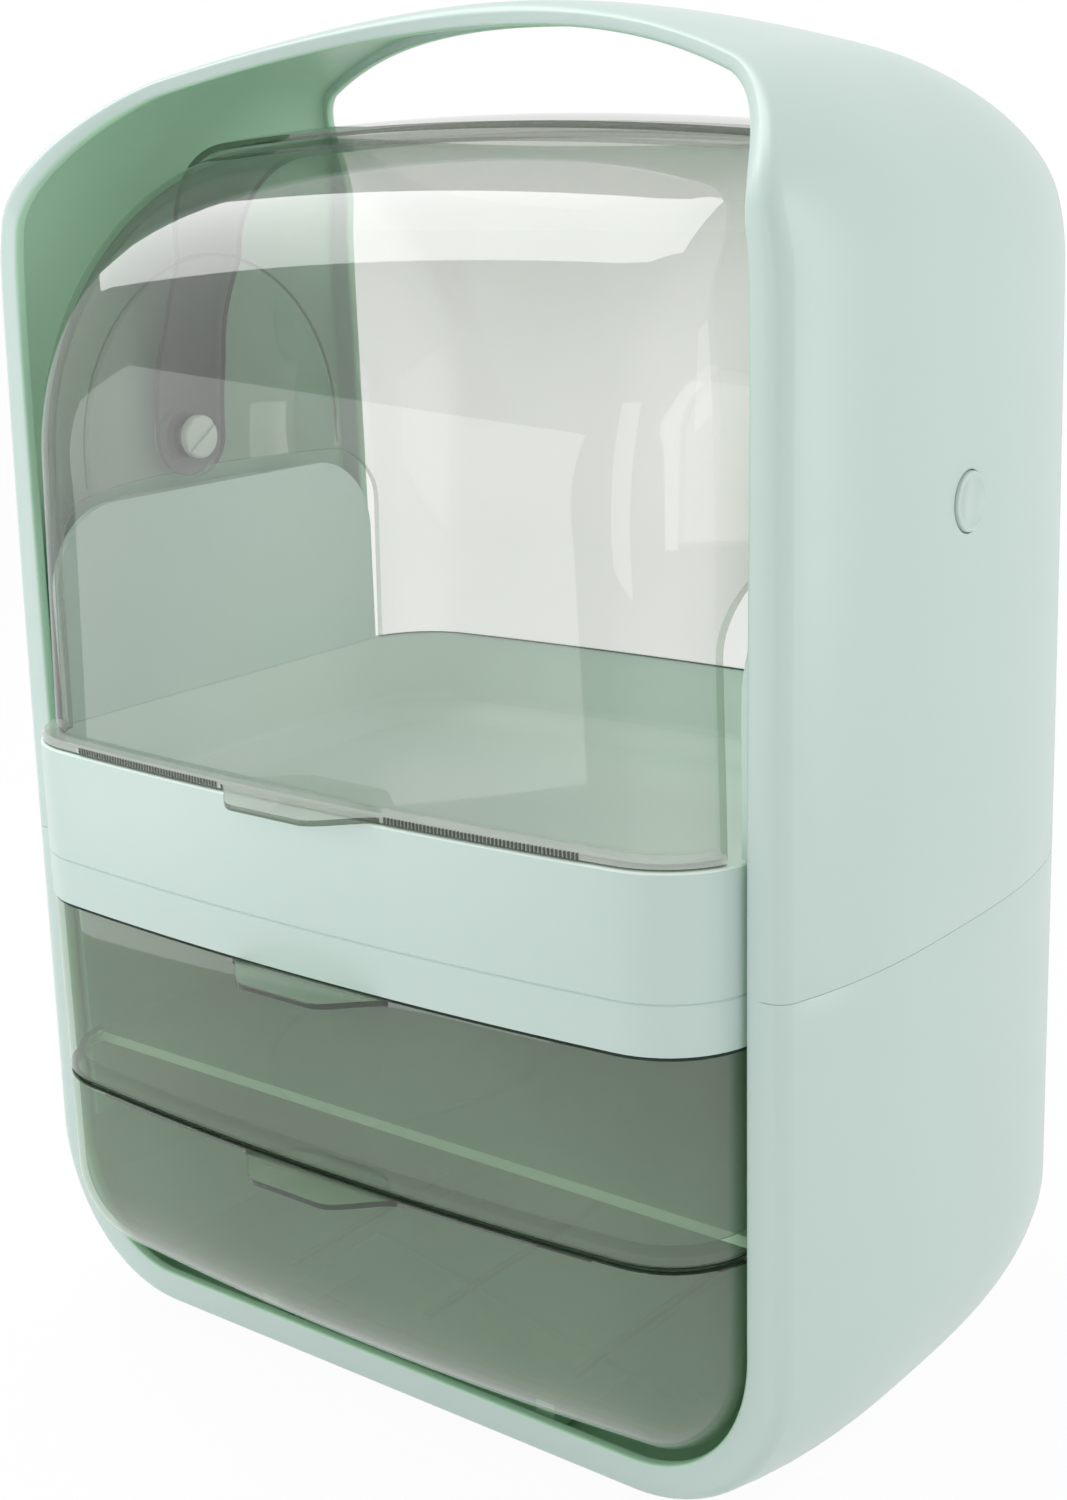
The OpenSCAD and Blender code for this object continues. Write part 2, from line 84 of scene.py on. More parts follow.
cam = bpy.data.cameras.new("camera")
cam.sensor_fit = "VERTICAL"
cam.sensor_height = SENSOR
cam.lens = FOCAL_PX / IMAGE_H * SENSOR
cam.clip_start = 0.01
camera = bpy.data.objects.new("camera", cam)
camera.matrix_world = Matrix((cam_x, cam_y, -look)).transposed().to_4x4()
camera.location = (0.373764, -0.467647, 0.337664)
scene.collection.objects.link(camera)
scene.camera = camera
print("Lens:", round(cam.lens, 2), "mm")

# %% [markdown]
# ## The studio
# Glossy plastic shows what stands around it, so the room matters as much as
# the object. The background is plain white for the camera, for mirrored rays
# and for rays through clear plastic, while the light that falls on the object
# is set apart from it. The floor keeps a faint shadow under the feet.

# %% World
ROOM_LIGHT = 0.59           # what the surroundings give the object
WHITE = (1, 1, 1, 1)


def node_tree(owner):
    """The owner's node tree, emptied."""
    owner.use_nodes = True
    owner.node_tree.nodes.clear()
    return owner.node_tree


def add(tree, kind, **values):
    """A node, with the values of its inputs by name or number (as _0, _1)."""
    node = tree.nodes.new(kind)
    for key, value in values.items():
        if key[0] == "_":
            node.inputs[int(key[1:])].default_value = value
        elif hasattr(node, key):
            setattr(node, key, value)
        else:
            node.inputs[key.replace("_", " ")].default_value = value
    return node


def seen_rays(tree, share):
    """A factor of share for rays from the camera, a mirror or through glass, else 0."""
    path = add(tree, "ShaderNodeLightPath")
    first = add(tree, "ShaderNodeMath", operation="MAXIMUM")
    second = add(tree, "ShaderNodeMath", operation="MAXIMUM")
    scaled = add(tree, "ShaderNodeMath", operation="MULTIPLY", _1=share)
    tree.links.new(path.outputs["Is Camera Ray"], first.inputs[0])
    tree.links.new(path.outputs["Is Glossy Ray"], first.inputs[1])
    tree.links.new(path.outputs["Is Transmission Ray"], second.inputs[0])
    tree.links.new(first.outputs[0], second.inputs[1])
    tree.links.new(second.outputs[0], scaled.inputs[0])
    return scaled.outputs[0]


world = bpy.data.worlds.new("studio")
scene.world = world
tree = node_tree(world)
lit = add(tree, "ShaderNodeBackground", Strength=ROOM_LIGHT)
lit.inputs["Color"].default_value = WHITE
white = add(tree, "ShaderNodeBackground", Strength=1.0)
white.inputs["Color"].default_value = WHITE
mix = add(tree, "ShaderNodeMixShader")
out = add(tree, "ShaderNodeOutputWorld")
tree.links.new(seen_rays(tree, 1.0), mix.inputs[0])
tree.links.new(lit.outputs[0], mix.inputs[1])
tree.links.new(white.outputs[0], mix.inputs[2])
tree.links.new(mix.outputs[0], out.inputs[0])
scene.view_settings.view_transform = "Standard"
print("World:", world.name, "with a room light of", ROOM_LIGHT)

# %% [markdown]
# The floor is one large plane of matt paper. For the rays that show it, most
# of its look is an even white glow, so it has no edge against the background,
# and the small share that is really lit keeps the object's shadow.

# %% Floor
FLOOR_WHITE = 0.95          # how far the floor glows instead of being lit
FLOOR_HALF = 6              # half the floor's width, in metres

paper = bpy.data.materials.new("white_paper")
tree = node_tree(paper)
matt = add(tree, "ShaderNodeBsdfDiffuse")
matt.inputs["Color"].default_value = (0.9, 0.9, 0.9, 1)
glow = add(tree, "ShaderNodeEmission", Strength=1.0)
mix = add(tree, "ShaderNodeMixShader")
out = add(tree, "ShaderNodeOutputMaterial")
tree.links.new(seen_rays(tree, FLOOR_WHITE), mix.inputs[0])
tree.links.new(matt.outputs[0], mix.inputs[1])
tree.links.new(glow.outputs[0], mix.inputs[2])
tree.links.new(mix.outputs[0], out.inputs[0])

bm = bmesh.new()
bmesh.ops.create_grid(bm, x_segments=1, y_segments=1, size=FLOOR_HALF)
mesh = bpy.data.meshes.new("floor")
bm.to_mesh(mesh)
bm.free()
mesh.materials.append(paper)
floor = bpy.data.objects.new("floor", mesh)
scene.collection.objects.link(floor)
floor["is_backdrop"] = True
print("Floor:", 2 * FLOOR_HALF, "m wide at z = 0")

# %% [markdown]
# Five softboxes do the modelling: a large one from the left front, whose
# mirror image lies across the clear cover, a tall narrow one on the right that
# lights the side wall, one in front for the corner of the cover, a long one
# overhead, and a square one that fills the right side. A softbox is given by
# its brightness, and its power follows from its area.

# %% Softboxes


def softbox(name, place, aim, width, height, glare):
    """A rectangular lamp at a place, turned towards aim."""
    lamp = bpy.data.lights.new(name, "AREA")
    lamp.shape = "RECTANGLE"
    lamp.size, lamp.size_y = width, height
    lamp.energy = glare * pi * width * height
    box = bpy.data.objects.new(name, lamp)
    box.location = place
    box.rotation_euler = (Vector(aim) - Vector(place)).to_track_quat("-Z", "Y").to_euler()
    scene.collection.objects.link(box)


softbox("left_softbox", (-0.394, -0.520, 0.25), (0, -0.09, 0.25), 0.47, 0.50, 1.3)
softbox("right_softbox", (0.85, 0.30, 0.45), (0, 0, 0.22), 0.22, 0.9, 2.8)
softbox("front_softbox", (0.10, -0.95, 0.42), (0, 0, 0.2), 0.30, 0.70, 1.2)
softbox("top_softbox", (-0.55, 0.00, 1.20), (0, 0, 0.2), 0.50, 1.20, 3.5)
softbox("far_right_softbox", (1.1, -0.2, 0.9), (0, 0, 0.2), 0.7, 0.7, 0.8)

# %% [markdown]
# ## Moulded plastic
# Injection-moulded plastic is never one flat colour: the pigment is slightly
# uneven over a hand's width, the polish varies over a finger's width, and the
# skin has a very fine ripple. Three noise textures on object coordinates give
# those at three scales, in features per metre. One function makes every
# opaque finish, and only its colour, its polish and how even it is change.

# %% Opaque finishes
PIGMENT_SCALE, POLISH_SCALE, RIPPLE_SCALE, RIPPLE_STRENGTH = 9.0, 38.0, 520.0, 0.35


def linear(r, g, b):
    """An sRGB colour from 0 to 255 as the linear colour that Blender keeps."""
    return tuple(c / 12.92 if c <= 0.04045 else ((c + 0.055) / 1.055) ** 2.4
                 for c in (r / 255, g / 255, b / 255)) + (1,)


def noise(tree, coords, scale, detail=2.0):
    """A noise texture's value, with about so many features to the metre."""
    made = add(tree, "ShaderNodeTexNoise", Scale=scale, Detail=detail)
    tree.links.new(coords, made.inputs["Vector"])
    return made.outputs["Fac"]


def ranged(tree, source, low, high):
    """The source's middle range spread softly from low to high."""
    node = add(tree, "ShaderNodeMapRange", interpolation_type="SMOOTHSTEP",
               _1=0.2, _2=0.8, _3=low, _4=high)
    tree.links.new(source, node.inputs[0])
    return node.outputs[0]


def blended(tree, factor, dark, light):
    """A colour that goes from dark to light with the factor."""
    node = add(tree, "ShaderNodeMix", data_type="RGBA")
    colours = [s for s in node.inputs if s.type == "RGBA"]
    colours[0].default_value, colours[1].default_value = dark, light
    tree.links.new(factor, node.inputs[0])
    return next(s for s in node.outputs if s.type == "RGBA")


def moulded(name, colour, polish, uneven, ripple=0.00002, metal=0.0):
    """An opaque finish. Polish is its range of roughness, and ripple is in metres."""
    made = bpy.data.materials.new(name)
    tree = node_tree(made)
    coords = add(tree, "ShaderNodeTexCoord").outputs["Object"]
    base = linear(*colour)
    dark = tuple(c * (1 - uneven) for c in base[:3]) + (1,)
    light = tuple(min(c * (1 + uneven), 1) for c in base[:3]) + (1,)
    shader = add(tree, "ShaderNodeBsdfPrincipled", Metallic=metal)
    out = add(tree, "ShaderNodeOutputMaterial")
    tint = blended(tree, ranged(tree, noise(tree, coords, PIGMENT_SCALE, 3.0), 0, 1), dark, light)
    tree.links.new(tint, shader.inputs["Base Color"])
    tree.links.new(ranged(tree, noise(tree, coords, POLISH_SCALE), *polish), shader.inputs["Roughness"])
    bump = add(tree, "ShaderNodeBump", Strength=RIPPLE_STRENGTH, Distance=ripple)
    tree.links.new(noise(tree, coords, RIPPLE_SCALE, 1.0), bump.inputs["Height"])
    tree.links.new(bump.outputs[0], shader.inputs["Normal"])
    tree.links.new(shader.outputs[0], out.inputs[0])
    return made


MINT = moulded("mint_gloss", (196, 215, 209), polish=(0.29, 0.33), uneven=0.012)
# A deeper, greener copy of the mint for faces inside the loop: painted shade and painted mint bounce
# light.
INNER_PAINTED_SHADE = moulded("mint_inside_painted_shade", (184, 224, 196), polish=(0.34, 0.42), uneven=0.02)
# A paler copy of the mint: the greener tint is the tray's own, the paleness is painted light.
TRAY_PAINTED_LIGHT = moulded("mint_tray_painted_light", (226, 243, 233), polish=(0.3, 0.38), uneven=0.02)
PANEL = moulded("mint_panel", (210, 231, 223), polish=(0.3, 0.42), uneven=0.02)
PALE = moulded("pale_nylon", (226, 232, 226), polish=(0.35, 0.5), uneven=0.02)
STEEL = moulded("screw_steel", (178, 180, 182), polish=(0.3, 0.45), uneven=0.08, metal=1.0)
RUBBER = moulded("foot_rubber", (208, 216, 211), polish=(0.6, 0.8), uneven=0.05, ripple=0.0001)
print("Opaque finishes:", ", ".join(m.name for m in (MINT, INNER_PAINTED_SHADE, TRAY_PAINTED_LIGHT, PANEL, PALE, STEEL, RUBBER)))

# %% [markdown]
# ## Clear and smoked plastic
# Real glass bends light, which is slow to render and hard to carry into other
# programs. A wall of clear plastic hardly bends what is seen through it, so
# each face is a tinted transparent shader with a mirror on top, mixed by the
# Fresnel of plastic. Only the faces that look towards the eye mirror: from
# behind, the Fresnel of an unbent ray would wrongly turn into a full mirror.
# Towards grazing angles light crosses more plastic, and Layer Weight deepens
# the tint there. A share of matt haze gives the smoked walls their milky
# body. The cut edges of a wall carry light along it and look dark, so they
# have a deeper finish of their own.

# %% See-through finishes
PLASTIC_IOR, MIRROR_ROUGH = 1.6, (0.01, 0.04)
CLOUD, CLOUD_SCALE, HAZE_SCALE, SMEAR_SCALE = 0.08, 14.0, 11.0, 25.0


def see_through(name, tint, deep, haze, share):
    """Plastic whose tint goes to deep at grazing angles, with a share of matt haze."""
    made = bpy.data.materials.new(name)
    tree = node_tree(made)
    coords = add(tree, "ShaderNodeTexCoord").outputs["Object"]
    facing = add(tree, "ShaderNodeLayerWeight", Blend=0.35).outputs["Facing"]
    cloud = ranged(tree, noise(tree, coords, CLOUD_SCALE), 0, CLOUD)
    amount = add(tree, "ShaderNodeMath", operation="ADD", use_clamp=True)
    tree.links.new(facing, amount.inputs[0])
    tree.links.new(cloud, amount.inputs[1])
    colour = blended(tree, amount.outputs[0], tint + (1,), deep + (1,))
    clear = add(tree, "ShaderNodeBsdfTransparent")
    tree.links.new(colour, clear.inputs["Color"])
    milk = add(tree, "ShaderNodeBsdfDiffuse")
    milk.inputs["Color"].default_value = haze + (1,)
    body = add(tree, "ShaderNodeMixShader")
    cloudy = ranged(tree, noise(tree, coords, HAZE_SCALE), share * 0.85, share * 1.15)
    tree.links.new(cloudy, body.inputs[0])
    tree.links.new(clear.outputs[0], body.inputs[1])
    tree.links.new(milk.outputs[0], body.inputs[2])
    mirror = add(tree, "ShaderNodeBsdfAnisotropic")
    mirror.inputs["Color"].default_value = WHITE
    smear = ranged(tree, noise(tree, coords, SMEAR_SCALE), *MIRROR_ROUGH)
    tree.links.new(smear, mirror.inputs["Roughness"])
    edge = add(tree, "ShaderNodeFresnel", IOR=PLASTIC_IOR)
    back = add(tree, "ShaderNodeNewGeometry").outputs["Backfacing"]
    front = add(tree, "ShaderNodeMath", operation="SUBTRACT", _0=1.0)
    tree.links.new(back, front.inputs[1])
    gloss = add(tree, "ShaderNodeMath", operation="MULTIPLY")
    tree.links.new(edge.outputs[0], gloss.inputs[0])
    tree.links.new(front.outputs[0], gloss.inputs[1])
    mix = add(tree, "ShaderNodeMixShader")
    out = add(tree, "ShaderNodeOutputMaterial")
    tree.links.new(gloss.outputs[0], mix.inputs[0])
    tree.links.new(body.outputs[0], mix.inputs[1])
    tree.links.new(mirror.outputs[0], mix.inputs[2])
    tree.links.new(mix.outputs[0], out.inputs[0])
    return made


CLEAR = see_through("clear_cover", tint=(0.965, 0.97, 0.96), deep=(0.67, 0.69, 0.66),
                    haze=(0.8, 0.82, 0.78), share=0.015)
CLEAR_EDGE = see_through("clear_cover_edge", tint=(0.36, 0.40, 0.34), deep=(0.10, 0.13, 0.10),
                         haze=(0.4, 0.45, 0.4), share=0.05)
CLEAR_LIP = see_through("clear_cover_lip", tint=(0.80, 0.84, 0.79), deep=(0.42, 0.47, 0.42),
                        haze=(0.5, 0.56, 0.5), share=0.10)
SMOKE = see_through("smoked_drawer", tint=(0.945, 0.975, 0.935), deep=(0.72, 0.80, 0.70),
                    haze=(0.50, 0.66, 0.50), share=0.13)
GRIP = see_through("clear_cover_grip", tint=(0.88, 0.92, 0.88), deep=(0.7, 0.75, 0.7),
                   haze=(0.80, 0.86, 0.80), share=0.45)
SMOKE_EDGE = see_through("smoked_drawer_edge", tint=(0.20, 0.24, 0.20), deep=(0.06, 0.07, 0.06),
                         haze=(0.2, 0.22, 0.2), share=0.1)
print("All materials:", ", ".join(m.name for m in bpy.data.materials))

# %% [markdown]
# ## From rings to walls
# Most parts here are thin walls whose section changes slowly, so they are
# lofted: one ring of points is laid down, extruded edge by edge, and each new
# ring is moved to its place. The mesh is made in millimetres in the body's own
# axes, and it is scaled and shifted into the frame only when it is finished.
# Doubles are merged and normals recalculated before the mesh is kept.

# %% Rings and lofts


def chain(bm, points, closed=True):
    """A line of new vertices joined by edges."""
    line = [bm.verts.new(p) for p in points]
    for a, b in zip(line, line[1:] + (line[:1] if closed else [])):
        bm.edges.new((a, b))
    return line


def extruded(bm, line, points):
    """A closed line extruded once, with the new vertices moved to the points."""
    pairs = zip(line, line[1:] + line[:1])
    made = bmesh.ops.extrude_edge_only(bm, edges=[bm.edges.get(p) for p in pairs])["geom"]
    fresh = {v for v in made if isinstance(v, bmesh.types.BMVert)}
    new = [next(o for o in (e.other_vert(v) for e in v.link_edges) if o in fresh) for v in line]
    for vert, point in zip(new, points):
        vert.co = point
    return new


def capped(bm, line):
    """One face across a closed line."""
    bmesh.ops.contextual_create(bm, geom=[bm.edges.get(p) for p in zip(line, line[1:] + line[:1])])


def loft(bm, rings):
    """A skin through rings of equal length, with closed ends. Returns the rings' vertices."""
    lines = [chain(bm, rings[0])]
    for ring in rings[1:]:
        lines.append(extruded(bm, lines[-1], ring))
    capped(bm, lines[0])
    capped(bm, lines[-1])
    return lines


print("Helpers for rings: chain, extruded, capped and loft")

# %% [markdown]
# A bevel rounds the edges that a hand would feel. Before a mesh becomes an
# object it is moved and scaled itself, so that the object stays at the
# origin, unturned and unscaled. Shading is smooth up to an angle, which
# differs from part to part, and past it the edge is drawn sharp.

# %% From a bmesh to a piece
MM = 0.001
BODY_Y = 5.5                # the body's middle lies this far behind the frame's origin
LOOKS_UP = 0.35             # a face looks up or down when its normal's z passes this
SECOND, THIRD = 1, 2        # slots of the materials after a piece's first one


def bevel(bm, edges, width, segments=2):
    """Rounds the edges over, keeping their faces' materials."""
    bmesh.ops.bevel(bm, geom=list(edges), offset=width, offset_type="OFFSET", affect="EDGES",
                    segments=segments, profile=0.5, material=-1, clamp_overlap=True)


def tidy(bm):
    """Merges doubles and turns the normals outward."""
    bmesh.ops.remove_doubles(bm, verts=bm.verts, dist=0.0005)
    bmesh.ops.dissolve_degenerate(bm, edges=bm.edges, dist=0.0002)
    bmesh.ops.recalc_face_normals(bm, faces=bm.faces)


def smooth(mesh, angle):
    """Smooth shading, with a sharp edge wherever faces meet at more than the angle."""
    mesh.shade_smooth()
    mesh.set_sharp_from_angle(angle=radians(angle))


def placed(name, bm, finishes, angle=32):
    """A finished bmesh as an object, in metres in the frame."""
    tidy(bm)
    bmesh.ops.translate(bm, verts=bm.verts, vec=(0, BODY_Y, 0))
    bmesh.ops.scale(bm, verts=bm.verts, vec=(MM, MM, MM))
    mesh = bpy.data.meshes.new(name)
    bm.to_mesh(mesh)
    bm.free()
    for finish in finishes:
        mesh.materials.append(finish)
    smooth(mesh, angle)
    piece = bpy.data.objects.new(name, mesh)
    scene.collection.objects.link(piece)
    return piece


def rides(piece, body, slot, *nodes):
    """Hangs the piece on the empty of the body it moves with and hides the imported parts it stands for;
    slot is not used.
    """
    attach(piece, body)
    if nodes:
        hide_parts(*nodes)
    print(piece.name, "has", len(piece.data.polygons), "faces")


print("Work in mm, shifted by", BODY_Y, "mm along y")

# %% [markdown]
# Holes, slots and bosses are simple solids that a boolean joins to a part or
# takes out of it. The modifier's result is kept as the part's new mesh, so no
# live modifier and no cutter is left in the scene.

# %% Booleans and simple solids


def combined(piece, cutter, operation="DIFFERENCE", angle=32):
    """Joins a cutter object to the piece or takes it out, and removes the cutter."""
    modifier = piece.modifiers.new("cut", "BOOLEAN")
    modifier.object = cutter
    modifier.operation = operation
    modifier.solver = "EXACT"
    bpy.context.view_layer.update()
    result = bpy.data.meshes.new_from_object(
        piece.evaluated_get(bpy.context.evaluated_depsgraph_get()))
    piece.modifiers.clear()
    result.name = piece.name
    piece.data = result
    bpy.data.objects.remove(cutter)
    smooth(result, angle)


def round_bar(bm, x0, x1, radius, z, segments=64):
    """A cylinder along x at a height."""
    turn = Matrix.Translation(((x0 + x1) / 2, 0, z)) @ Matrix.Rotation(pi / 2, 4, "Y")
    bmesh.ops.create_cone(bm, cap_ends=True, segments=segments, radius1=radius, radius2=radius,
                          depth=abs(x1 - x0), matrix=turn)


def block(bm, low, high):
    """A box between two corners. Returns its vertices."""
    size = [b - a for a, b in zip(low, high)]
    middle = [(a + b) / 2 for a, b in zip(low, high)]
    return bmesh.ops.create_cube(bm, size=1, matrix=Matrix.Translation(middle)
                                 @ Matrix.Diagonal((*size, 1)))["verts"]


print("Helpers for solids: combined, round_bar and block")

# %% [markdown]
# ## The body's outline
# From the front the body is a rounded loop: corners of 53 mm at the foot,
# side walls that lean in a little, shoulders of 56 mm and a long crown. The
# loop is described by stations, each a point with the direction that points
# out of the body there. They are worked out from the same few sizes as the
# model's own, only closer together, so that highlights run smoothly.

# %% Stations round the loop
HEIGHT, HALF_W, HALF_D = 370.0, 135.0, 70.0
BASE_R, SHOULDER_R, CROWN_R = 53.0, 56.0, 328.0
TAPER, FOOT_H, SEAM_Z = 1.2, 1.2, 147.0
SIDE_MID = (BASE_R + HEIGHT - SHOULDER_R) / 2
SIDE_HALF = (HEIGHT - SHOULDER_R - BASE_R) / 2
LEAN = atan(TAPER / SIDE_HALF)
BASE_C = (HALF_W + TAPER - BASE_R * cos(LEAN), FOOT_H + BASE_R)
CROWN_CZ = HEIGHT - CROWN_R
SHOULDER_X = HALF_W - TAPER - SHOULDER_R * cos(LEAN)
SHOULDER_CZ = CROWN_CZ + sqrt((CROWN_R - SHOULDER_R) ** 2 - SHOULDER_X ** 2)
SHOULDER_END = atan2(SHOULDER_CZ - CROWN_CZ, SHOULDER_X)


def side_x(z):
    """How far out the side wall stands at a height."""
    return HALF_W - TAPER * (z - SIDE_MID) / SIDE_HALF


def arc(cx, cz, r, start, end, steps):
    """Stations on an arc, as (x, z, outward x, outward z)."""
    for i in range(steps + 1):
        a = start + (end - start) * i / steps
        yield (cx + r * cos(a), cz + r * sin(a), cos(a), sin(a))


def side_stations(z0, z1, steps):
    """Stations up the leaning side wall."""
    for i in range(steps + 1):
        z = z0 + (z1 - z0) * i / steps
        yield (side_x(z), z, 1.0, 0.0)


def mirrored(stations):
    """The same stations on the left side, in the other direction."""
    return [(-x, z, -nx, nz) for x, z, nx, nz in reversed(stations)]


low_half = [(BASE_C[0] * i / 6, FOOT_H, 0.0, -1.0) for i in range(6)]
low_half += list(arc(*BASE_C, BASE_R, -pi / 2, LEAN, 24))
low_half += list(side_stations(BASE_C[1] + 8, SEAM_Z, 8))
high_half = list(side_stations(SEAM_Z, SHOULDER_CZ - 8, 12))
high_half += list(arc(SHOULDER_X, SHOULDER_CZ, SHOULDER_R, LEAN, SHOULDER_END, 26))
high_half += list(arc(0, CROWN_CZ, CROWN_R, SHOULDER_END, pi / 2, 22))[1:]
low_loop = mirrored(low_half) + low_half[1:]
high_loop = high_half + mirrored(high_half)[1:]
print("Stations:", len(low_loop), "below the seam and", len(high_loop), "above")

# %% [markdown]
# ## The wall's section
# Across its depth the wall bows out in the middle, rounds over at both rims
# and turns in to a flat rim face with a short lip behind it. Towards the top
# the two rims draw together into the carrying arch. The section is drawn at
# each station, and its depth is measured along the station's own direction.

# %% Wall section
BARREL, EDGE_R, RIM_W, LIP_T, WALL = 8.7, 3.7, 4.6, 3.5, 3.0
ARCH_HALF, LEAN_Z, SLOW_LEAN, RIM_GROW = 8.0, 321.0, 3.3, 2.8
BASE_LIFT, CROWN_DROP = 0.58, 0.26      # the share of the bow left at the foot and the crown
BOW_POWER, CROWN_THIN = 2.9, 0.35
THIN_Z = LEAN_Z - 40        # above this the rim keeps its width
RIM_IN = BARREL + EDGE_R
TURN = [1 - cos(radians(a)) for a in range(0, 91, 15)]
BELLY = range(-7, 8)
OUTER_POINTS = 2 * len(TURN) + len(BELLY)


def rise(z, start):
    """0 up to start, then evenly to 1 at the top."""
    return min(max((z - start) / (HEIGHT - start), 0.0), 1.0)


def rim_half(z):
    """Half the depth between the rims."""
    narrowing = HALF_D - ARCH_HALF - SLOW_LEAN * rise(z, SEAM_Z) ** 2
    return ARCH_HALF + narrowing * (1 - rise(z, LEAN_Z) ** 2)


def rim_width(z, nz):
    """How far the rim face reaches in."""
    if z > THIN_Z:
        return RIM_W * (1 - CROWN_THIN * nz ** 2)
    return RIM_W + RIM_GROW * (THIN_Z - z) / THIN_Z


def skin(y, half):
    """How far the outer face lies inside the widest line."""
    u = half - abs(y)
    rounding = 0.0 if u >= EDGE_R else EDGE_R - sqrt(max(EDGE_R ** 2 - (EDGE_R - u) ** 2, 0))
    return BARREL * (abs(y) / half) ** BOW_POWER + rounding


def section(station):
    """The wall's section as points (x, y, z), round from the front rim."""
    x, z, nx, nz = station
    half = rim_half(z)
    part = nx ** 2 + (CROWN_DROP if nz > 0 else BASE_LIFT) * nz ** 2
    outer = [-half + EDGE_R * k for k in TURN]
    outer += [k / 8 * (half - EDGE_R) for k in BELLY]
    outer += [half - EDGE_R * k for k in reversed(TURN)]
    inner = [k / 6 * (half - LIP_T) for k in range(6, -7, -1)]
    lip = part * RIM_IN + rim_width(z, nz)
    line = [(y, part * skin(y, half)) for y in outer]
    line += [(half, lip), (half - LIP_T, lip)]
    line += [(y, part * skin(y, half) + WALL) for y in inner]
    line += [(-half + LIP_T, lip), (-half, lip)]
    return [(x - d * nx, y, z - d * nz) for y, d in line]


print("Points in a section:", len(section(low_loop[0])))

# %% [markdown]
# The body is moulded in two halves that meet at a seam below the tray. Each half is one loft through its
# stations. Rim and seam edges are bevelled, and the faces that look into the loop take a deeper, greener
# copy of the mint, which is painted shade with painted mint bounce light.

# %% Shells
LOOP_MID_Z = 190
RIM_ROUND, SEAM_ROUND = 0.9, 0.35


def shell(name, loop):
    """Half of the loop, with rounded rims and a fine groove at the seam."""
    bm = bmesh.new()
    lines = loft(bm, [section(s) for s in loop])
    count = len(lines[0])
    corners = [count - 1, count - 2, OUTER_POINTS, OUTER_POINTS + 1]
    along = {bm.edges.get((a[k], b[k])) for k in corners for a, b in zip(lines, lines[1:])}
    ends = {bm.edges.get((line[k], line[k + 1])) for line in (lines[0], lines[-1])
            for k in range(OUTER_POINTS)}
    bevel(bm, along, RIM_ROUND, 3)
    bevel(bm, {e for e in ends if e.is_valid}, SEAM_ROUND)
    tidy(bm)
    # Faces that look into the loop get the green with painted shade and bounce light.
    for face in bm.faces:
        middle = face.calc_center_median()
        inward = Vector((-middle.x, 0, LOOP_MID_Z - middle.z)).normalized()
        if face.normal.dot(inward) > 0.2 and abs(face.normal.y) < 0.75:
            face.material_index = SECOND
    return placed(name, bm, [MINT, INNER_PAINTED_SHADE])


lower_shell = shell("lower_shell_skin", low_loop)
rides(lower_shell, "organizer", "body", "lower_shell")
upper_shell = shell("upper_shell_skin", high_loop)

# %% [markdown]
# The pivots of the front cover sit in bosses inside the side walls, and round
# caps close them from outside. The bosses are joined to the wall and the cap
# seats are cut out of it with booleans, because a loft can't have holes.

# %% Pivot bosses and cap seats
PIVOT_Z, CAP_R, BOSS_R = 252.0, 7.2, 9.0
CAP_SINK, BOSS_RISE, CAP_PLAY = 1.4, 0.8, 0.4
CAP_SEAT = side_x(PIVOT_Z) - CAP_SINK
BOSS_X = side_x(PIVOT_Z) - WALL - BOSS_RISE


def both_bars(name, x0, x1, radius, finish):
    """The same cylinder at the left and the right pivot, as one object."""
    bm = bmesh.new()
    for side in (-1, 1):
        round_bar(bm, side * x0, side * x1, radius, PIVOT_Z)
    return placed(name, bm, [finish])


# The bosses take the green with painted shade.
combined(upper_shell, both_bars("bosses", BOSS_X, CAP_SEAT - 0.1, BOSS_R, INNER_PAINTED_SHADE), "UNION")
combined(upper_shell, both_bars("seats", CAP_SEAT, HALF_W + 5, CAP_R + CAP_PLAY, MINT))
rides(upper_shell, "organizer", "body", "upper_shell")

# %% [markdown]
# ## The bay's outline
# Tray, drawers and covers share one outline from above: flat sides, rounded
# corners and a front that bows out on a radius of a metre. A part is lofted
# through copies of that outline, each with its own inset and height, so a
# profile of a few pairs of numbers is enough to draw a wall with its rim,
# its cove and its floor.

# %% Bay outline and profiles
BAY_HALF, REACH, CORNER_R, BOW_R, PANEL_T = 116.5, 92.0, 26.0, 1000.0, 2.6
FRONT_STEPS, CORNER_STEPS, LEAST_R = 12, 14, 4.0


def quarter(w, r, c):
    """From the middle of the front round the corner to the side, as (x, y ahead)."""
    p = asin((w - c) / (BOW_R - c))
    cy = (BOW_R - c) * cos(p) - BOW_R + r
    line = []
    for i in range(FRONT_STEPS + 1):
        a = p * i / FRONT_STEPS
        line.append((BOW_R * sin(a), BOW_R * cos(a) - BOW_R + r))
    for i in range(1, CORNER_STEPS + 1):
        a = p + (pi / 2 - p) * i / CORNER_STEPS
        line.append((w - c + c * sin(a), cy + c * cos(a)))
    return line


def bay_ring(inset, z, back=None):
    """The whole outline at a height, which may depend on y. With back, it ends flat there."""
    line = quarter(BAY_HALF - inset, REACH - inset, max(CORNER_R - inset, LEAST_R))
    if back is None:
        right = [(x, -y) for x, y in line] + [(x, y) for x, y in reversed(line)]
    else:
        w = BAY_HALF - inset
        right = [(x, -y) for x, y in line] + [(w, back), (w / 2, back), (0.0, back)]
    left = [(-x, y) for x, y in reversed(right[1:-1])]
    return [(x, y, z(y) if callable(z) else z) for x, y in right + left]


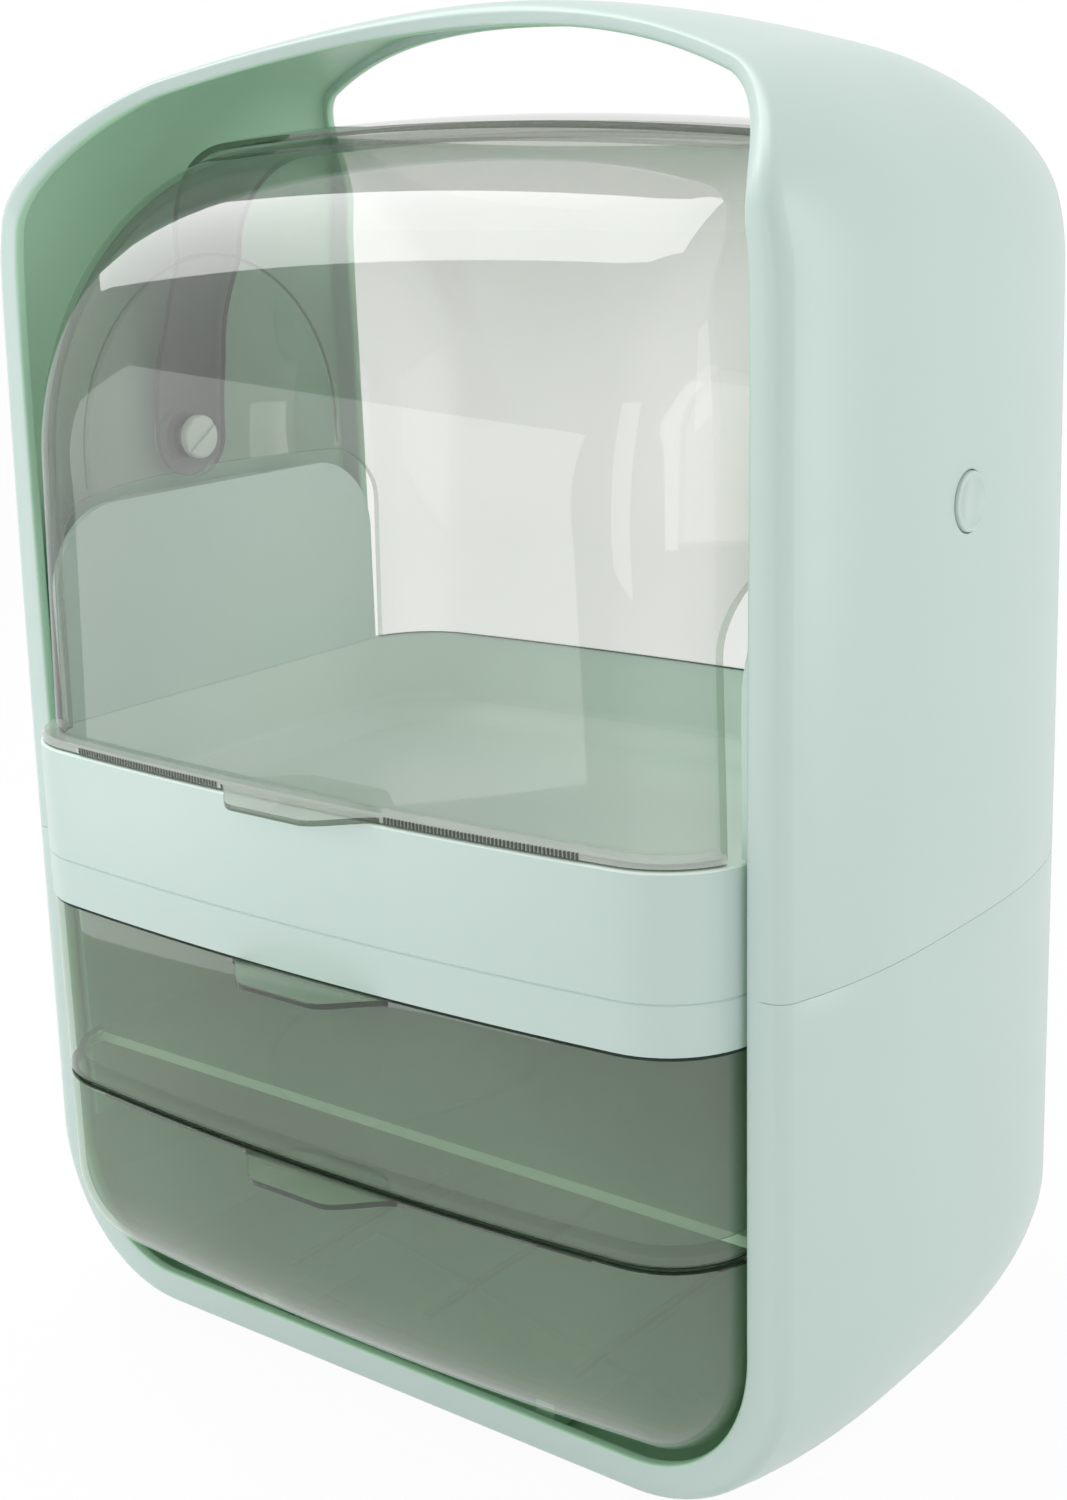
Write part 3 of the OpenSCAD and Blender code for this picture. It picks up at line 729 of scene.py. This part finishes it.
def turned(inset, z, r, start, end, steps=4):
    """Points (inset, height) on an arc about (inset, z), angles in degrees."""
    angles = [radians(start + (end - start) * i / steps) for i in range(steps + 1)]
    return [(inset + r * cos(a), z + r * sin(a)) for a in angles]


def profiled(bm, profile):
    """A loft through the outline's copies, one for each (inset, height) or (inset, height, back)."""
    loft(bm, [bay_ring(*place) for place in profile])


print("Outline points:", len(bay_ring(0, 0)))

# %% [markdown]
# The tray is a shallow basin whose walls meet the floor in a wide sloping cove, which makes it easy to
# wipe out. Its rim is rounded over, and a fine groove shows where it stands on the cabinet. The faces
# inside and those looking up take a paler copy of the mint: the slightly greener tint is the tray's own,
# and the paleness is painted light on its floor and rim.

# %% Tray
RIM_Z, TRAY_FLOOR, COVE_Z, COVE_W, GROOVE = 178.5, 150.6, 156.6, 11.0, 0.35
LIP_R = 0.9                 # the rounding of the rim

bm = bmesh.new()
rim = turned(LIP_R, RIM_Z - LIP_R, LIP_R, 180, 90)
rim += turned(PANEL_T - LIP_R, RIM_Z - LIP_R, LIP_R, 90, 0)
cove = [(PANEL_T + 0.2, COVE_Z + 0.8), (PANEL_T + 0.9, COVE_Z - 0.4),
        (PANEL_T + 5.0, TRAY_FLOOR + 2.9),
        (PANEL_T + COVE_W - 2, TRAY_FLOOR + 0.6), (PANEL_T + COVE_W - 0.6, TRAY_FLOOR + 0.1),
        (PANEL_T + COVE_W, TRAY_FLOOR)]
profiled(bm, [(GROOVE, SEAM_Z), (0, SEAM_Z + GROOVE)] + rim + [(PANEL_T, COVE_Z + 2)] + cove)
tidy(bm)
# Faces inside or looking up take the paler mint with painted light.
for face in bm.faces:
    middle = face.calc_center_median()
    inside = face.normal.z > 0.25 or face.normal.dot(Vector((middle.x, middle.y, 0))) < 0
    if inside and middle.z > SEAM_Z + 1:
        face.material_index = SECOND
tray = placed("vanity_tray_skin", bm, [MINT, TRAY_PAINTED_LIGHT], 24)
rides(tray, "organizer", "body", "vanity_tray")

# %% [markdown]
# Under the tray a deck closes the cabinet, and its front hangs down as a band
# that hides the rim of the upper drawer. It has the tray's outline, a groove
# at its top and a rounded lower edge.

# %% Cabinet deck
DECK_Z, DECK_T = 134.0, 3.0

bm = bmesh.new()
profiled(bm, [(PANEL_T, SEAM_Z - DECK_T), (PANEL_T, DECK_Z + 0.4), (PANEL_T - 0.4, DECK_Z),
              (0.6, DECK_Z), (0.18, DECK_Z + 0.18), (0, DECK_Z + 0.6), (0, SEAM_Z - GROOVE),
              (GROOVE, SEAM_Z)])
deck = placed("cabinet_deck_skin", bm, [MINT])
rides(deck, "organizer", "body", "cabinet_deck")

# %% [markdown]
# The back of the cabinet is a moulded panel with the same bowed outline. Its
# lower edge curls under with a radius of 35 mm to follow the body's corners.
# It is lofted as a whole tub, and a bisect keeps only the part behind the
# rear rim; the cut is then filled.

# %% Rear panel
UNDER_Z = FOOT_H + BASE_LIFT * RIM_IN + RIM_W + RIM_GROW + 1
TUB_R, TUB_START = 35.0, 10         # the curl's radius, and the angle in degrees where it begins
REAR_Y = HALF_D - LIP_T


def tub_profile(inset, top, back=None):
    """From the underside round the lower edge and up the side to the top."""
    r = TUB_R - inset
    line = []
    for a in range(TUB_START, 91, 5):
        d = inset + r * (1 - sin(radians(a)))
        line.append((d, UNDER_Z + inset + r * (1 - cos(radians(a))), back))
    return line + [(inset, top, back)]


bm = bmesh.new()
profiled(bm, tub_profile(0.0, DECK_Z - 0.3) + [(PANEL_T, DECK_Z - 0.3, None)]
         + tub_profile(PANEL_T, DECK_Z - 0.8)[::-1])
tidy(bm)
bmesh.ops.bisect_plane(bm, geom=bm.verts[:] + bm.edges[:] + bm.faces[:],
                       plane_co=(0, REAR_Y, 0), plane_no=(0, 1, 0), clear_inner=True)
bmesh.ops.holes_fill(bm, edges=[e for e in bm.edges if e.is_boundary], sides=0)
rear = placed("rear_panel_skin", bm, [MINT])
rides(rear, "organizer", "body", "rear_panel")

# %% [markdown]
# ## Finger tabs
# Each drawer and the front cover have a thin lip to pull on. Its ends sweep
# out in an S, leaving the front and meeting the lip's edge without a corner.
# The outline is drawn once as a ring, extruded through the lip's thickness
# and rounded with a bevel, so all three tabs come from one function.

# %% Finger tabs
TAB_HALF, TAB_SLANT, TAB_T = 29.0, 18.0, 1.6
TAB_ROOT, TAB_TIP, TAB_ROUND = -REACH + 1.5, -REACH - 11.0, 0.55


def tab(bm, top):
    """A thin lip whose upper and lower faces stay clear, with a darker rounded edge."""
    ends = []
    for i in range(13):
        s = i / 12
        ends.append((TAB_HALF - TAB_SLANT * s, TAB_ROOT + (TAB_TIP - TAB_ROOT) * s * s * (3 - 2 * s)))
    outline = ends + [(-x, y) for x, y in reversed(ends)]
    lines = loft(bm, [[(x, y, z) for x, y in outline] for z in (top - TAB_T, top)])
    for a, b, c, d in zip(*[line[k:] + line[:k] for line in lines for k in (0, 1)]):
        bm.faces.get((a, b, d, c)).material_index = SECOND
    rims = {bm.edges.get(p) for line in lines for p in zip(line, line[1:] + line[:1])}
    bevel(bm, rims, TAB_ROUND)


print("Tab:", 2 * TAB_HALF, "mm at its root,", 2 * (TAB_HALF - TAB_SLANT), "mm at its tip")

# %% [markdown]
# ## The drawers
# Both drawers are smoked trays with a bowed front. The upper one has a flat
# floor that runs on the shelf, and its front hangs a little past the shelf to
# close the gap. One profile draws it from its underside, up the outer face,
# over the rim and down inside to the floor. The rims and the tabs' edges look
# darker than the walls, so they get the edge finish.

# %% Upper drawer
SPLIT_Z, SLIDE_GAP, DRAWER_T, DRAWER_BACK = 80.0, 0.6, 2.0, 64.0
SHELF_Z, SHELF_T = SPLIT_Z - 0.5, 3.0
SHELF_Y = HALF_D - LIP_T - 4.5
HANG_Y = -(SHELF_Y + 2)     # ahead of this a drawer's front hangs past the shelf
UPPER_TOP, UPPER_FLOOR = DECK_Z - SLIDE_GAP, SHELF_Z + SHELF_T + 0.3


def edge_faces(bm, least_z):
    """Gives the edge finish to faces that look up from least_z or higher."""
    for face in bm.faces:
        if face.calc_center_median().z > least_z and face.normal.z > LOOKS_UP:
            face.material_index = SECOND


def under_upper(y):
    """The upper drawer's underside, which hangs lower in front of the shelf."""
    return SPLIT_Z + SLIDE_GAP if y < HANG_Y else UPPER_FLOOR


gap, back = SLIDE_GAP, DRAWER_BACK
inner = SLIDE_GAP + DRAWER_T
inner_back = DRAWER_BACK - DRAWER_T
drawer_floor = UPPER_FLOOR + DRAWER_T

bm = bmesh.new()
outside = [(inner, UPPER_FLOOR, inner_back), (inner, under_upper, inner_back),
           (gap + 0.5, under_upper, back), (gap, lambda y: under_upper(y) + 0.7, back),
           (gap, UPPER_TOP - 0.7, back)]
rim = [(gap + 0.1, UPPER_TOP - 0.25, back - 0.1), (gap + 0.4, UPPER_TOP, back - 0.4),
       (inner - 0.4, UPPER_TOP, inner_back + 0.4), (inner, UPPER_TOP - 0.4, inner_back)]
inside = [(inner, drawer_floor + 2.2, inner_back), (inner + 0.6, drawer_floor + 0.8, inner_back - 0.6),
          (inner + 2.2, drawer_floor, inner_back - 2.2)]
profiled(bm, outside + rim + inside)
tidy(bm)
edge_faces(bm, UPPER_TOP - 0.5)
# The hanging front's underside and a band along its inner fold with the floor take the edge finish: a
# dark line painted along the fold.
for face in bm.faces:
    middle = face.calc_center_median()
    under = middle.z < SPLIT_Z + 2 and face.normal.z < -LOOKS_UP
    painted_dark_fold = drawer_floor + 0.1 < middle.z < drawer_floor + 0.7
    if middle.y < HANG_Y and (under or painted_dark_fold):
        face.material_index = SECOND
tab(bm, UPPER_TOP)
upper_drawer = placed("upper_drawer_tub", bm, [SMOKE, SMOKE_EDGE], 28)
rides(upper_drawer, "upper_drawer", "drawer", "upper_drawer")

# %% [markdown]
# The lower drawer curls in at its lower edge, as the body does, so it uses
# the rear panel's profile for both faces of its wall. Three low ribs stiffen
# its floor.

# %% Lower drawer
LOWER_TOP, SIDE_TOP = SPLIT_Z - SLIDE_GAP, SHELF_Z - SLIDE_GAP
FLOOR_RIBS, RIB_HALF, RIB_FRONT = (-52.0, 0.0, 52.0), 1.1, -52


def lower_rim(y):
    """The lower drawer's rim, which stands higher in front of the shelf."""
    return LOWER_TOP if y < HANG_Y else SIDE_TOP


bm = bmesh.new()
rim = [(gap + 0.15, lambda y: lower_rim(y) - 0.2, back - 0.15), (gap + 0.5, lower_rim, back - 0.5),
       (inner - 0.4, lower_rim, inner_back + 0.4), (inner, lambda y: lower_rim(y) - 0.5, inner_back)]
profiled(bm, tub_profile(gap, lambda y: lower_rim(y) - 0.6, back) + rim
         + tub_profile(inner, SIDE_TOP - 4, inner_back)[::-1])
tidy(bm)
edge_faces(bm, SIDE_TOP - 1)
floor_z = UNDER_Z + inner + (TUB_R - inner) * (1 - cos(radians(TUB_START)))
for x in FLOOR_RIBS:
    rib = block(bm, (x - RIB_HALF, RIB_FRONT, floor_z - 0.3),
                (x + RIB_HALF, inner_back + 0.2, floor_z + 1.0))
    bevel(bm, {e for v in rib for e in v.link_edges if all(w.co.z > floor_z for w in e.verts)}, 0.5)
tab(bm, LOWER_TOP)
lower_drawer = placed("lower_drawer_tub", bm, [SMOKE, SMOKE_EDGE], 28)
rides(lower_drawer, "lower_drawer", "drawer", "lower_drawer")

# %% [markdown]
# ## The covers
# Above the pivots both covers are turned shapes: one profile, from the round
# cheek on the left over the bowed crown to the cheek on the right, spun half
# a turn about the line of the pivots. That is why the front cover can swing
# inside the rear one without touching it. Below the pivots a skirt carries
# the outline straight down to the tray, and the wall's inner face is made the
# same way with a larger inset and bridged to the outer one along the foot.

# %% Cover surfaces
REAR_INSET, COVER_T, NEST_GAP, DOME_R = 1.5, 1.8, 1.2, 32.0
CHEEK_OUT, CHEEK_R, EAR_R = 13.0, 54.0, 12.0
FRONT_INSET = REAR_INSET + COVER_T + NEST_GAP
CHEEK_X = BAY_HALF - REAR_INSET + CHEEK_OUT
BALL_R = (CHEEK_R ** 2 + CHEEK_OUT ** 2) / (2 * CHEEK_OUT)
BALL_X = CHEEK_X - BALL_R
# Out from CREASE the cheek's fold is painted dark.
CREASE = 0.986              # share of the cheek's radius at which its dark fold starts
SPIN_STEPS = 60             # steps of the spin over the dome
NEAR = 0.01                 # two places closer than this are the same
SKIRT_LEVELS = (-4.0, -8.0, -12.0, -16.0, -24.0, -36.0, -50.0, RIM_Z - PIVOT_Z)


def cheek(w, inset, z, back_y):
    """From the side's middle line forward to back_y along the cheek, as (x, y ahead)."""
    ball = BALL_R - inset + REAR_INSET
    line = []
    for share in [i / 12 for i in range(12)] + [CREASE, 1.0]:
        y = CHEEK_R * share
        left = ball ** 2 - y ** 2 - z ** 2
        line.append((max(w, BALL_X + sqrt(max(left, 0.0))), y))
    return line + [(w, CHEEK_R + (back_y - CHEEK_R) * 0.5)] if back_y > CHEEK_R + 1 else line


def cover_quarter(inset, z):
    """A quarter of the outline at z above the pivots, from the cheek to the front's middle."""
    w = BAY_HALF - inset
    low = CORNER_R + (DOME_R - CORNER_R) * (z - RIM_Z + PIVOT_Z) / (PIVOT_Z - RIM_Z)
    line = quarter(w, REACH - inset, low - inset)
    return cheek(w, inset, z, line[-1][1]) + line[::-1]


def cover_ring(inset, z):
    """The cover's whole outline at z above the pivots."""
    right = cover_quarter(inset, z)
    front = [(-x, -y) for x, y in right] + [(x, -y) for x, y in right[-2::-1]]
    rear = [(x, y) for x, y in right[1:]] + [(-x, y) for x, y in right[-2:0:-1]]
    return [(x, y, PIVOT_Z + z) for x, y in front + rear]


def cover_surface(bm, inset):
    """Dome and skirt at an inset. Returns the skirt's lowest ring."""
    line = chain(bm, cover_ring(inset, 0.0))
    for z in SKIRT_LEVELS:
        line = extruded(bm, line, cover_ring(inset, z))
    half = 2 * len(cover_quarter(inset, 0.0)) - 1
    profile = chain(bm, cover_ring(inset, 0.0)[:half], closed=False)
    edges = [bm.edges.get(p) for p in zip(profile, profile[1:])]
    bmesh.ops.spin(bm, geom=profile + edges, cent=(0, 0, PIVOT_Z), axis=(1, 0, 0), angle=-pi,
                   steps=SPIN_STEPS, use_merge=False)
    return line


def cover_wall(inset):
    """An outer and an inner surface, bridged along the foot."""
    bm = bmesh.new()
    feet = [cover_surface(bm, inset), cover_surface(bm, inset + COVER_T)]
    edges = [bm.edges.get(p) for line in feet for p in zip(line, line[1:] + line[:1])]
    bmesh.ops.bridge_loops(bm, edges=edges)
    tidy(bm)
    for face in bm.faces:
        middle = face.calc_center_median()
        off = sqrt(middle.y ** 2 + (middle.z - PIVOT_Z) ** 2) / CHEEK_R
        # A band at the cheek's fold takes the edge finish, a dark line painted along the fold; the
        # foot's face is a cut edge.
        painted_dark_fold = CREASE < off < 1 and abs(middle.x) > BAY_HALF - inset - 0.3
        if painted_dark_fold or abs(middle.z - RIM_Z) < NEAR:
            face.material_index = SECOND
    return bm


print("Ball of the cheek:", round(BALL_R, 1), "mm, apex at", round(CHEEK_X, 1))

# %% [markdown]
# A cover is then trimmed to its outline seen from the side. The front edge of
# the rear cover leans forward at the crown, runs round an ear at the pivot and
# leaves a notch for the side panels. The trim is a flat outline extruded
# across the body, and a boolean keeps what lies inside it. The faces that the
# trim leaves take the darker edge finish, because the cutter carries it.

# %% Trimming
OVERLAP, EDGE_LEAN = 6.0, 12.0
CUT_Y, CUT_R, CUT_Z = 68.0, 18.0, PIVOT_Z - EAR_R + 2.5
CREST_Z = PIVOT_Z + REACH - REAR_INSET
PIN_HOLE = 4.08
EDGES = [CLEAR, CLEAR_EDGE, CLEAR_LIP]
COVER_ANGLE = 22            # degrees above which an edge of a cover is drawn sharp
NOTCH_EDGE_Z = 243.0        # below this the trimmed edge is thin and pale


def trim_outline():
    """What the rear cover keeps, seen from the side, as (y, z)."""
    top = CREST_Z + 1
    line = [(-OVERLAP - EDGE_LEAN, top)]
    start = Vector(line[0])
    bend = Vector((-OVERLAP - 1, PIVOT_Z + 50))
    ear = Vector((-EAR_R, PIVOT_Z + 22))
    for i in range(1, 13):
        s = i / 12
        point = start * (1 - s) ** 2 + bend * 2 * s * (1 - s) + ear * s ** 2
        line.append((point.x, point.y))
    for a in range(180, 350, 6):
        y, z = EAR_R * cos(radians(a)), EAR_R * sin(radians(a))
        if y < 0 or z < CUT_Z - PIVOT_Z:
            line.append((y, PIVOT_Z + z))
    for a in range(90, -1, -6):
        line.append((CUT_Y - CUT_R + CUT_R * cos(radians(a)), CUT_Z - CUT_R + CUT_R * sin(radians(a))))
    return line + [(CUT_Y, RIM_Z - 2), (REACH + 2, RIM_Z - 2), (REACH + 2, top)]


def edge_cutter(name, bm):
    """A cutter whose faces bring the edge finish to the cut."""
    for face in bm.faces:
        face.material_index = SECOND
    return placed(name, bm, EDGES)


def trimmed(name, inset, facing):
    """facing is 1 for the rear cover and -1 for the front one, its mirror image."""
    cover = placed(name, cover_wall(inset), EDGES, COVER_ANGLE)
    bm = bmesh.new()
    loft(bm, [[(x, facing * y, z) for y, z in trim_outline()] for x in (-HALF_W, HALF_W)])
    combined(cover, edge_cutter(name + "_trim", bm), "INTERSECT", COVER_ANGLE)
    bm = bmesh.new()
    round_bar(bm, -HALF_W, HALF_W, PIN_HOLE, PIVOT_Z, segments=48)
    combined(cover, edge_cutter(name + "_bore", bm), "DIFFERENCE", COVER_ANGLE)
    for face in cover.data.polygons:
        if face.material_index == SECOND and (RIM_Z + 1) * MM < face.center.z < NOTCH_EDGE_Z * MM:
            face.material_index = THIRD
    return cover


rear_cover = trimmed("rear_cover_dome", REAR_INSET, 1)
rides(rear_cover, "organizer", "cover", "rear_cover")
front_cover = trimmed("front_cover_dome", FRONT_INSET, -1)
rides(front_cover, "front_cover", "cover", "front_cover")

# %% [markdown]
# Along its foot the front cover has a narrow flange that rests on the tray's
# rim, with a finger tab in the middle. Its section is small and stays the
# same, so it is lofted along the outline, section by section.

# %% Cover foot
FLANGE_Z, FLANGE_H = RIM_Z + 0.3, 2.4

line = quarter(BAY_HALF - SLIDE_GAP, REACH - SLIDE_GAP, CORNER_R - SLIDE_GAP)
path = [(-x, -y) for x, y in line[::-1]] + [(x, -y) for x, y in line[1:]]
path = [(x, y) for x, y in path if y < -HALF_D - 0.5]


def across(path, i):
    """The direction that points into the bay at a point of the path."""
    a, b = path[max(i - 1, 0)], path[min(i + 1, len(path) - 1)]
    along = Vector((b[0] - a[0], b[1] - a[1])).normalized()
    return Vector((-along.y, along.x))


bm = bmesh.new()
deep = FRONT_INSET + COVER_T / 2 - SLIDE_GAP
rings = []
for i, (x, y) in enumerate(path):
    n = across(path, i)
    profile = [(0, 0.3), (0, FLANGE_H - 0.7), (0.7, FLANGE_H), (deep, FLANGE_H), (deep, 0), (0.3, 0)]
    rings.append([(x + n.x * d, y + n.y * d, FLANGE_Z + z) for d, z in profile])
loft(bm, rings)
tidy(bm)
for face in bm.faces:
    if face.normal.z < -LOOKS_UP:
        face.material_index = SECOND
tab(bm, FLANGE_Z + TAB_T)
foot_strip = placed("front_cover_foot", bm, [GRIP, CLEAR_EDGE], 28)
rides(foot_strip, "front_cover", "cover")

# %% [markdown]
# Fine ribs on the flange's face give a grip. Each rib is a small block, set
# square to the front at its place, with none behind the tab. They are far
# too regular for a noise and too fine to shape any other way.

# %% Grip ribs
RIB_PITCH, RIB_W, RIB_OUT, RIB_END = 1.1, 0.45, 0.35, 6

bm = bmesh.new()
reach = BOW_R * asin((BAY_HALF - CORNER_R) / BOW_R) - RIB_END
count = int(reach / RIB_PITCH)
for i in range(-count, count + 1):
    x = i * RIB_PITCH
    near = min(range(len(path)), key=lambda k: abs(path[k][0] - x))
    if abs(x) < TAB_HALF - 1 or not 0 < near < len(path) - 1:
        continue
    a, b = (path[near], path[near + 1]) if path[near][0] <= x else (path[near - 1], path[near])
    y = a[1] + (b[1] - a[1]) * (x - a[0]) / (b[0] - a[0])
    lean = atan2(b[1] - a[1], b[0] - a[0])
    rib = block(bm, (-RIB_W / 2, -RIB_OUT, FLANGE_Z + 0.35),
                (RIB_W / 2, 0.5, FLANGE_Z + FLANGE_H - 0.5))
    place = Matrix.Translation((x, y, 0)) @ Matrix.Rotation(lean, 4, "Z")
    bmesh.ops.transform(bm, verts=rib, matrix=place)
ribs = placed("front_cover_grip", bm, [CLEAR_EDGE], 28)
rides(ribs, "front_cover", "cover")

# %% [markdown]
# ## Pivots
# A pin holds each side of the front cover. Its head shows inside the cover,
# slotted for a screwdriver, and a round cap closes its far end outside. Both
# start as cylinders; the head's rim is bevelled and the slot is a boolean,
# and the cap is inset twice to give it a raised rim round a shallow dish.

# %% Pins and caps
HEAD_R, HEAD_T, PIN_R = 6.5, 2.6, 4.0
PIN_IN = CHEEK_X - 2 * COVER_T - NEST_GAP - HEAD_T - 0.7
SLOT_DEEP, SLOT_HALF, SLOT_TURN = 1.1, 0.7, 0.6      # the turn is in radians
CAP_OUT = 0.9


def ring_edges(bm, x, radius):
    """The edges of a circle about the pivots' line, at x."""
    def on(v):
        off = sqrt(v.co.y ** 2 + (v.co.z - PIVOT_Z) ** 2)
        return abs(v.co.x - x) < NEAR and abs(off - radius) < NEAR
    return {e for e in bm.edges if all(on(v) for v in e.verts)}


for side, word in ((-1, "left"), (1, "right")):
    bm = bmesh.new()
    round_bar(bm, side * PIN_IN, side * (PIN_IN + HEAD_T), HEAD_R, PIVOT_Z)
    bevel(bm, ring_edges(bm, side * PIN_IN, HEAD_R), 0.9, 3)
    pin = placed(word + "_pivot_pin_head", bm, [PALE])
    bm = bmesh.new()
    x0, x1 = sorted((side * (PIN_IN - 1), side * (PIN_IN + SLOT_DEEP)))
    block(bm, (x0, -HEAD_R - 1, PIVOT_Z - SLOT_HALF), (x1, HEAD_R + 1, PIVOT_Z + SLOT_HALF))
    bmesh.ops.rotate(bm, verts=bm.verts, cent=(0, 0, PIVOT_Z), matrix=Matrix.Rotation(SLOT_TURN, 3, "X"))
    combined(pin, placed("slot_cutter", bm, [PALE]))
    bm = bmesh.new()
    round_bar(bm, side * (PIN_IN + HEAD_T - 0.3), side * CAP_SEAT, PIN_R, PIVOT_Z)
    combined(pin, placed("shaft", bm, [PALE]), "UNION")
    rides(pin, "organizer", "pivot", word + "_pivot_pin")

    bm = bmesh.new()
    face_x = side * (side_x(PIVOT_Z) + CAP_OUT)
    round_bar(bm, side * CAP_SEAT, face_x, CAP_R, PIVOT_Z)
    bevel(bm, ring_edges(bm, face_x, CAP_R), 0.5, 3)
    tidy(bm)
    front = [f for f in bm.faces if len(f.verts) > 8 and f.normal.x * side > 0.9]
    bmesh.ops.inset_region(bm, faces=front, thickness=0.7, depth=0)
    bmesh.ops.inset_region(bm, faces=front, thickness=0.3, depth=-0.25)
    cap = placed(word + "_pivot_cap_disc", bm, [MINT], 50)
    rides(cap, "organizer", "pivot", word + "_pivot_cap")

# %% [markdown]
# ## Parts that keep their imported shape
# The shelf, the guides, the rails, the side panels, the bushes, the screws and
# the feet are plain shapes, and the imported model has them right. They only
# need a finish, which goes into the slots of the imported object. Its mesh stays
# as it is.

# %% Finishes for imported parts
KEPT = {
    # The shelf takes the tray's paler mint with its painted light.
    "left_side_panel": PANEL, "right_side_panel": PANEL, "mid_shelf": TRAY_PAINTED_LIGHT,
    # The guides and the rails take the green with painted shade.
    "left_guide": INNER_PAINTED_SHADE, "right_guide": INNER_PAINTED_SHADE, "floor_rails": INNER_PAINTED_SHADE,
    "left_pivot_bush": PALE, "right_pivot_bush": PALE, "deck_screws": STEEL,
    "front_left_foot": RUBBER, "front_right_foot": RUBBER,
    "rear_left_foot": RUBBER, "rear_right_foot": RUBBER,
}
for name, finish in KEPT.items():
    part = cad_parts[name]
    part.data.materials.clear()
    part.data.materials.append(finish)
print("Packed parts with a finish:", len(KEPT))

# %% [markdown]
# ## Sizes and the end
# Both boxes are measured, and how far the finished piece has grown past the imported model's box is
# printed. The finished piece must stay inside the imported model's box.

# %% Sizes
visual_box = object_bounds()
grown = [(visual_box[1][i] - visual_box[0][i]) - (cad_box[1][i] - cad_box[0][i]) for i in range(3)]
print("Grown by (mm):", [round(g / MM, 2) for g in grown])
